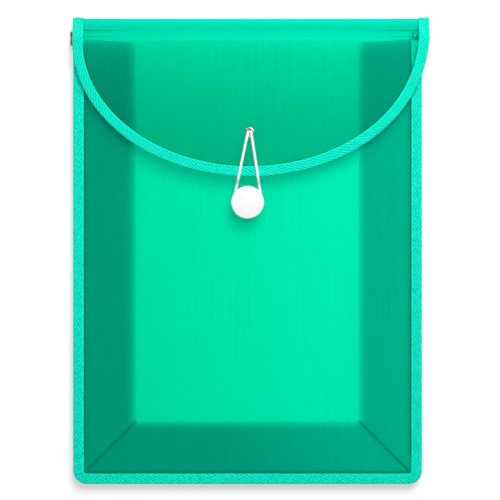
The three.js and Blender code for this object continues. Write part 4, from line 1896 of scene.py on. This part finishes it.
@dataclass
class Studio:
    """A white floor, soft light from above and the right, and a camera straight above."""

    floor: float = 3000.0
    floor_drop: float = 0.05
    floor_tone: float = 0.80
    floor_lift: float = 0.33
    world: float = 0.22
    sensor: float = 36.0
    camera_at: Place = (0.00172, 0.0008, 1.4)
    across: float = 0.35835
    level: float = 0.008
    key_at: Place = (0.25, 0.72, 1.0)
    key_size: float = 0.8
    key_power: float = 14.2
    fill_at: Place = (-0.35, -0.5, 1.3)
    fill_size: float = 1.3
    fill_power: float = 4.4
    bounces: int = 24

    def build_camera(self) -> None:
        """Makes the camera, which sees a width across at the wallet's level, all in metres."""
        lens = bpy.data.cameras.new("camera")
        lens.sensor_width = self.sensor
        lens.lens = self.sensor * (self.camera_at[2] - self.level) / self.across
        eye = bpy.data.objects.new("camera", lens)
        eye.location = self.camera_at
        bpy.context.scene.collection.objects.link(eye)
        bpy.context.scene.camera = eye

    def lamp(self, name: str, at: Place, size: float, power: float) -> None:
        """Makes a square lamp that faces the middle of the floor.

        Args:
            name: its name.
            at: its place, in metres.
            size: its side, in metres.
            power: in watts.
        """
        light = bpy.data.lights.new(name, "AREA")
        light.size = size
        light.energy = power
        thing = bpy.data.objects.new(name, light)
        thing.location = at
        tilt = math.atan2(math.hypot(at[0], at[1]), at[2])
        thing.rotation_euler = (tilt, 0.0, math.atan2(-at[0], at[1]) + math.pi)
        bpy.context.scene.collection.objects.link(thing)

    def sky(self) -> bpy.types.World:
        """The world: a dim even light that the camera itself sees as white.

        Its strength is the world's own plus what is missing to 1 on camera rays.

        Returns:
            The world.
        """
        sky = bpy.data.worlds.new("studio_world")
        sky.use_nodes = True
        tree = sky.node_tree
        background = tree.nodes["Background"]
        background.inputs["Color"].default_value = (1.0, 1.0, 1.0, 1.0)
        path, level = tree.nodes.new("ShaderNodeLightPath"), tree.nodes.new("ShaderNodeMath")
        level.operation = "MULTIPLY_ADD"
        level.inputs[1].default_value = 1.0 - self.world
        level.inputs[2].default_value = self.world
        tree.links.new(path.outputs["Is Camera Ray"], level.inputs[0])
        tree.links.new(level.outputs[0], background.inputs["Strength"])
        return sky

    def ground(self) -> bpy.types.Material:
        """The floor's finish: a pale tone, lifted to white for camera and mirror rays.

        Returns:
            The material.
        """
        make = Shader("studio_floor")
        path = make.node("ShaderNodeLightPath")
        rays = ("Is Camera Ray", "Is Glossy Ray", "Is Transmission Ray")
        camera, glossy, passed = (Signal(make, path.outputs[ray]) for ray in rays)
        seen = camera.peak(glossy).peak(passed)
        tone = (*[self.floor_tone] * 3, 1.0)
        plain = make.node("ShaderNodeBsdfDiffuse", None, {"Color": tone})
        lift = make.node("ShaderNodeEmission", None, {"Strength": seen * self.floor_lift})
        both = {0: plain.outputs[0], 1: lift.outputs[0]}
        return make.finish(make.node("ShaderNodeAddShader", None, both))

    def build(self) -> bpy.types.Object:
        """Makes the floor, the lamps and the world, and sets the view.

        Returns:
            The floor.
        """
        half = self.floor / 2
        ways = np.array([[-1, -1], [1, -1], [1, 1], [-1, 1]])
        corners = np.concatenate([ways * half, np.full((4, 1), -self.floor_drop)], axis=1)
        floor = Mesh(corners, [np.arange(4)[None]]).piece("floor", self.ground())
        self.lamp("key_lamp", self.key_at, self.key_size, self.key_power)
        self.lamp("fill_lamp", self.fill_at, self.fill_size, self.fill_power)
        scene = bpy.context.scene
        scene.world = self.sky()
        scene.view_settings.view_transform = "Standard"
        scene.cycles.transparent_max_bounces = self.bounces
        return floor


def main() -> None:
    """Builds the wallet and the studio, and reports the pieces."""
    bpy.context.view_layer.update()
    studio, closure, weave = Studio(), Closure(), TapeWeave()
    studio.build_camera()
    made = closure.build_elastic()
    woven, metal = weave.finish.material(), NickelPlate().material()
    made += Pocket().build(weave, woven)
    made += Gusset().build()
    made += Spine().build(weave, woven)
    made += Flap().build(weave, woven)
    made += Clips().build(metal)
    made += closure.build_eyelet(metal)
    made += closure.build_button()
    made.append(studio.build())
    for piece in made:
        LOG.info("%s: %d faces", piece.name, len(piece.data.polygons))


if __name__ == "__main__":
    main()
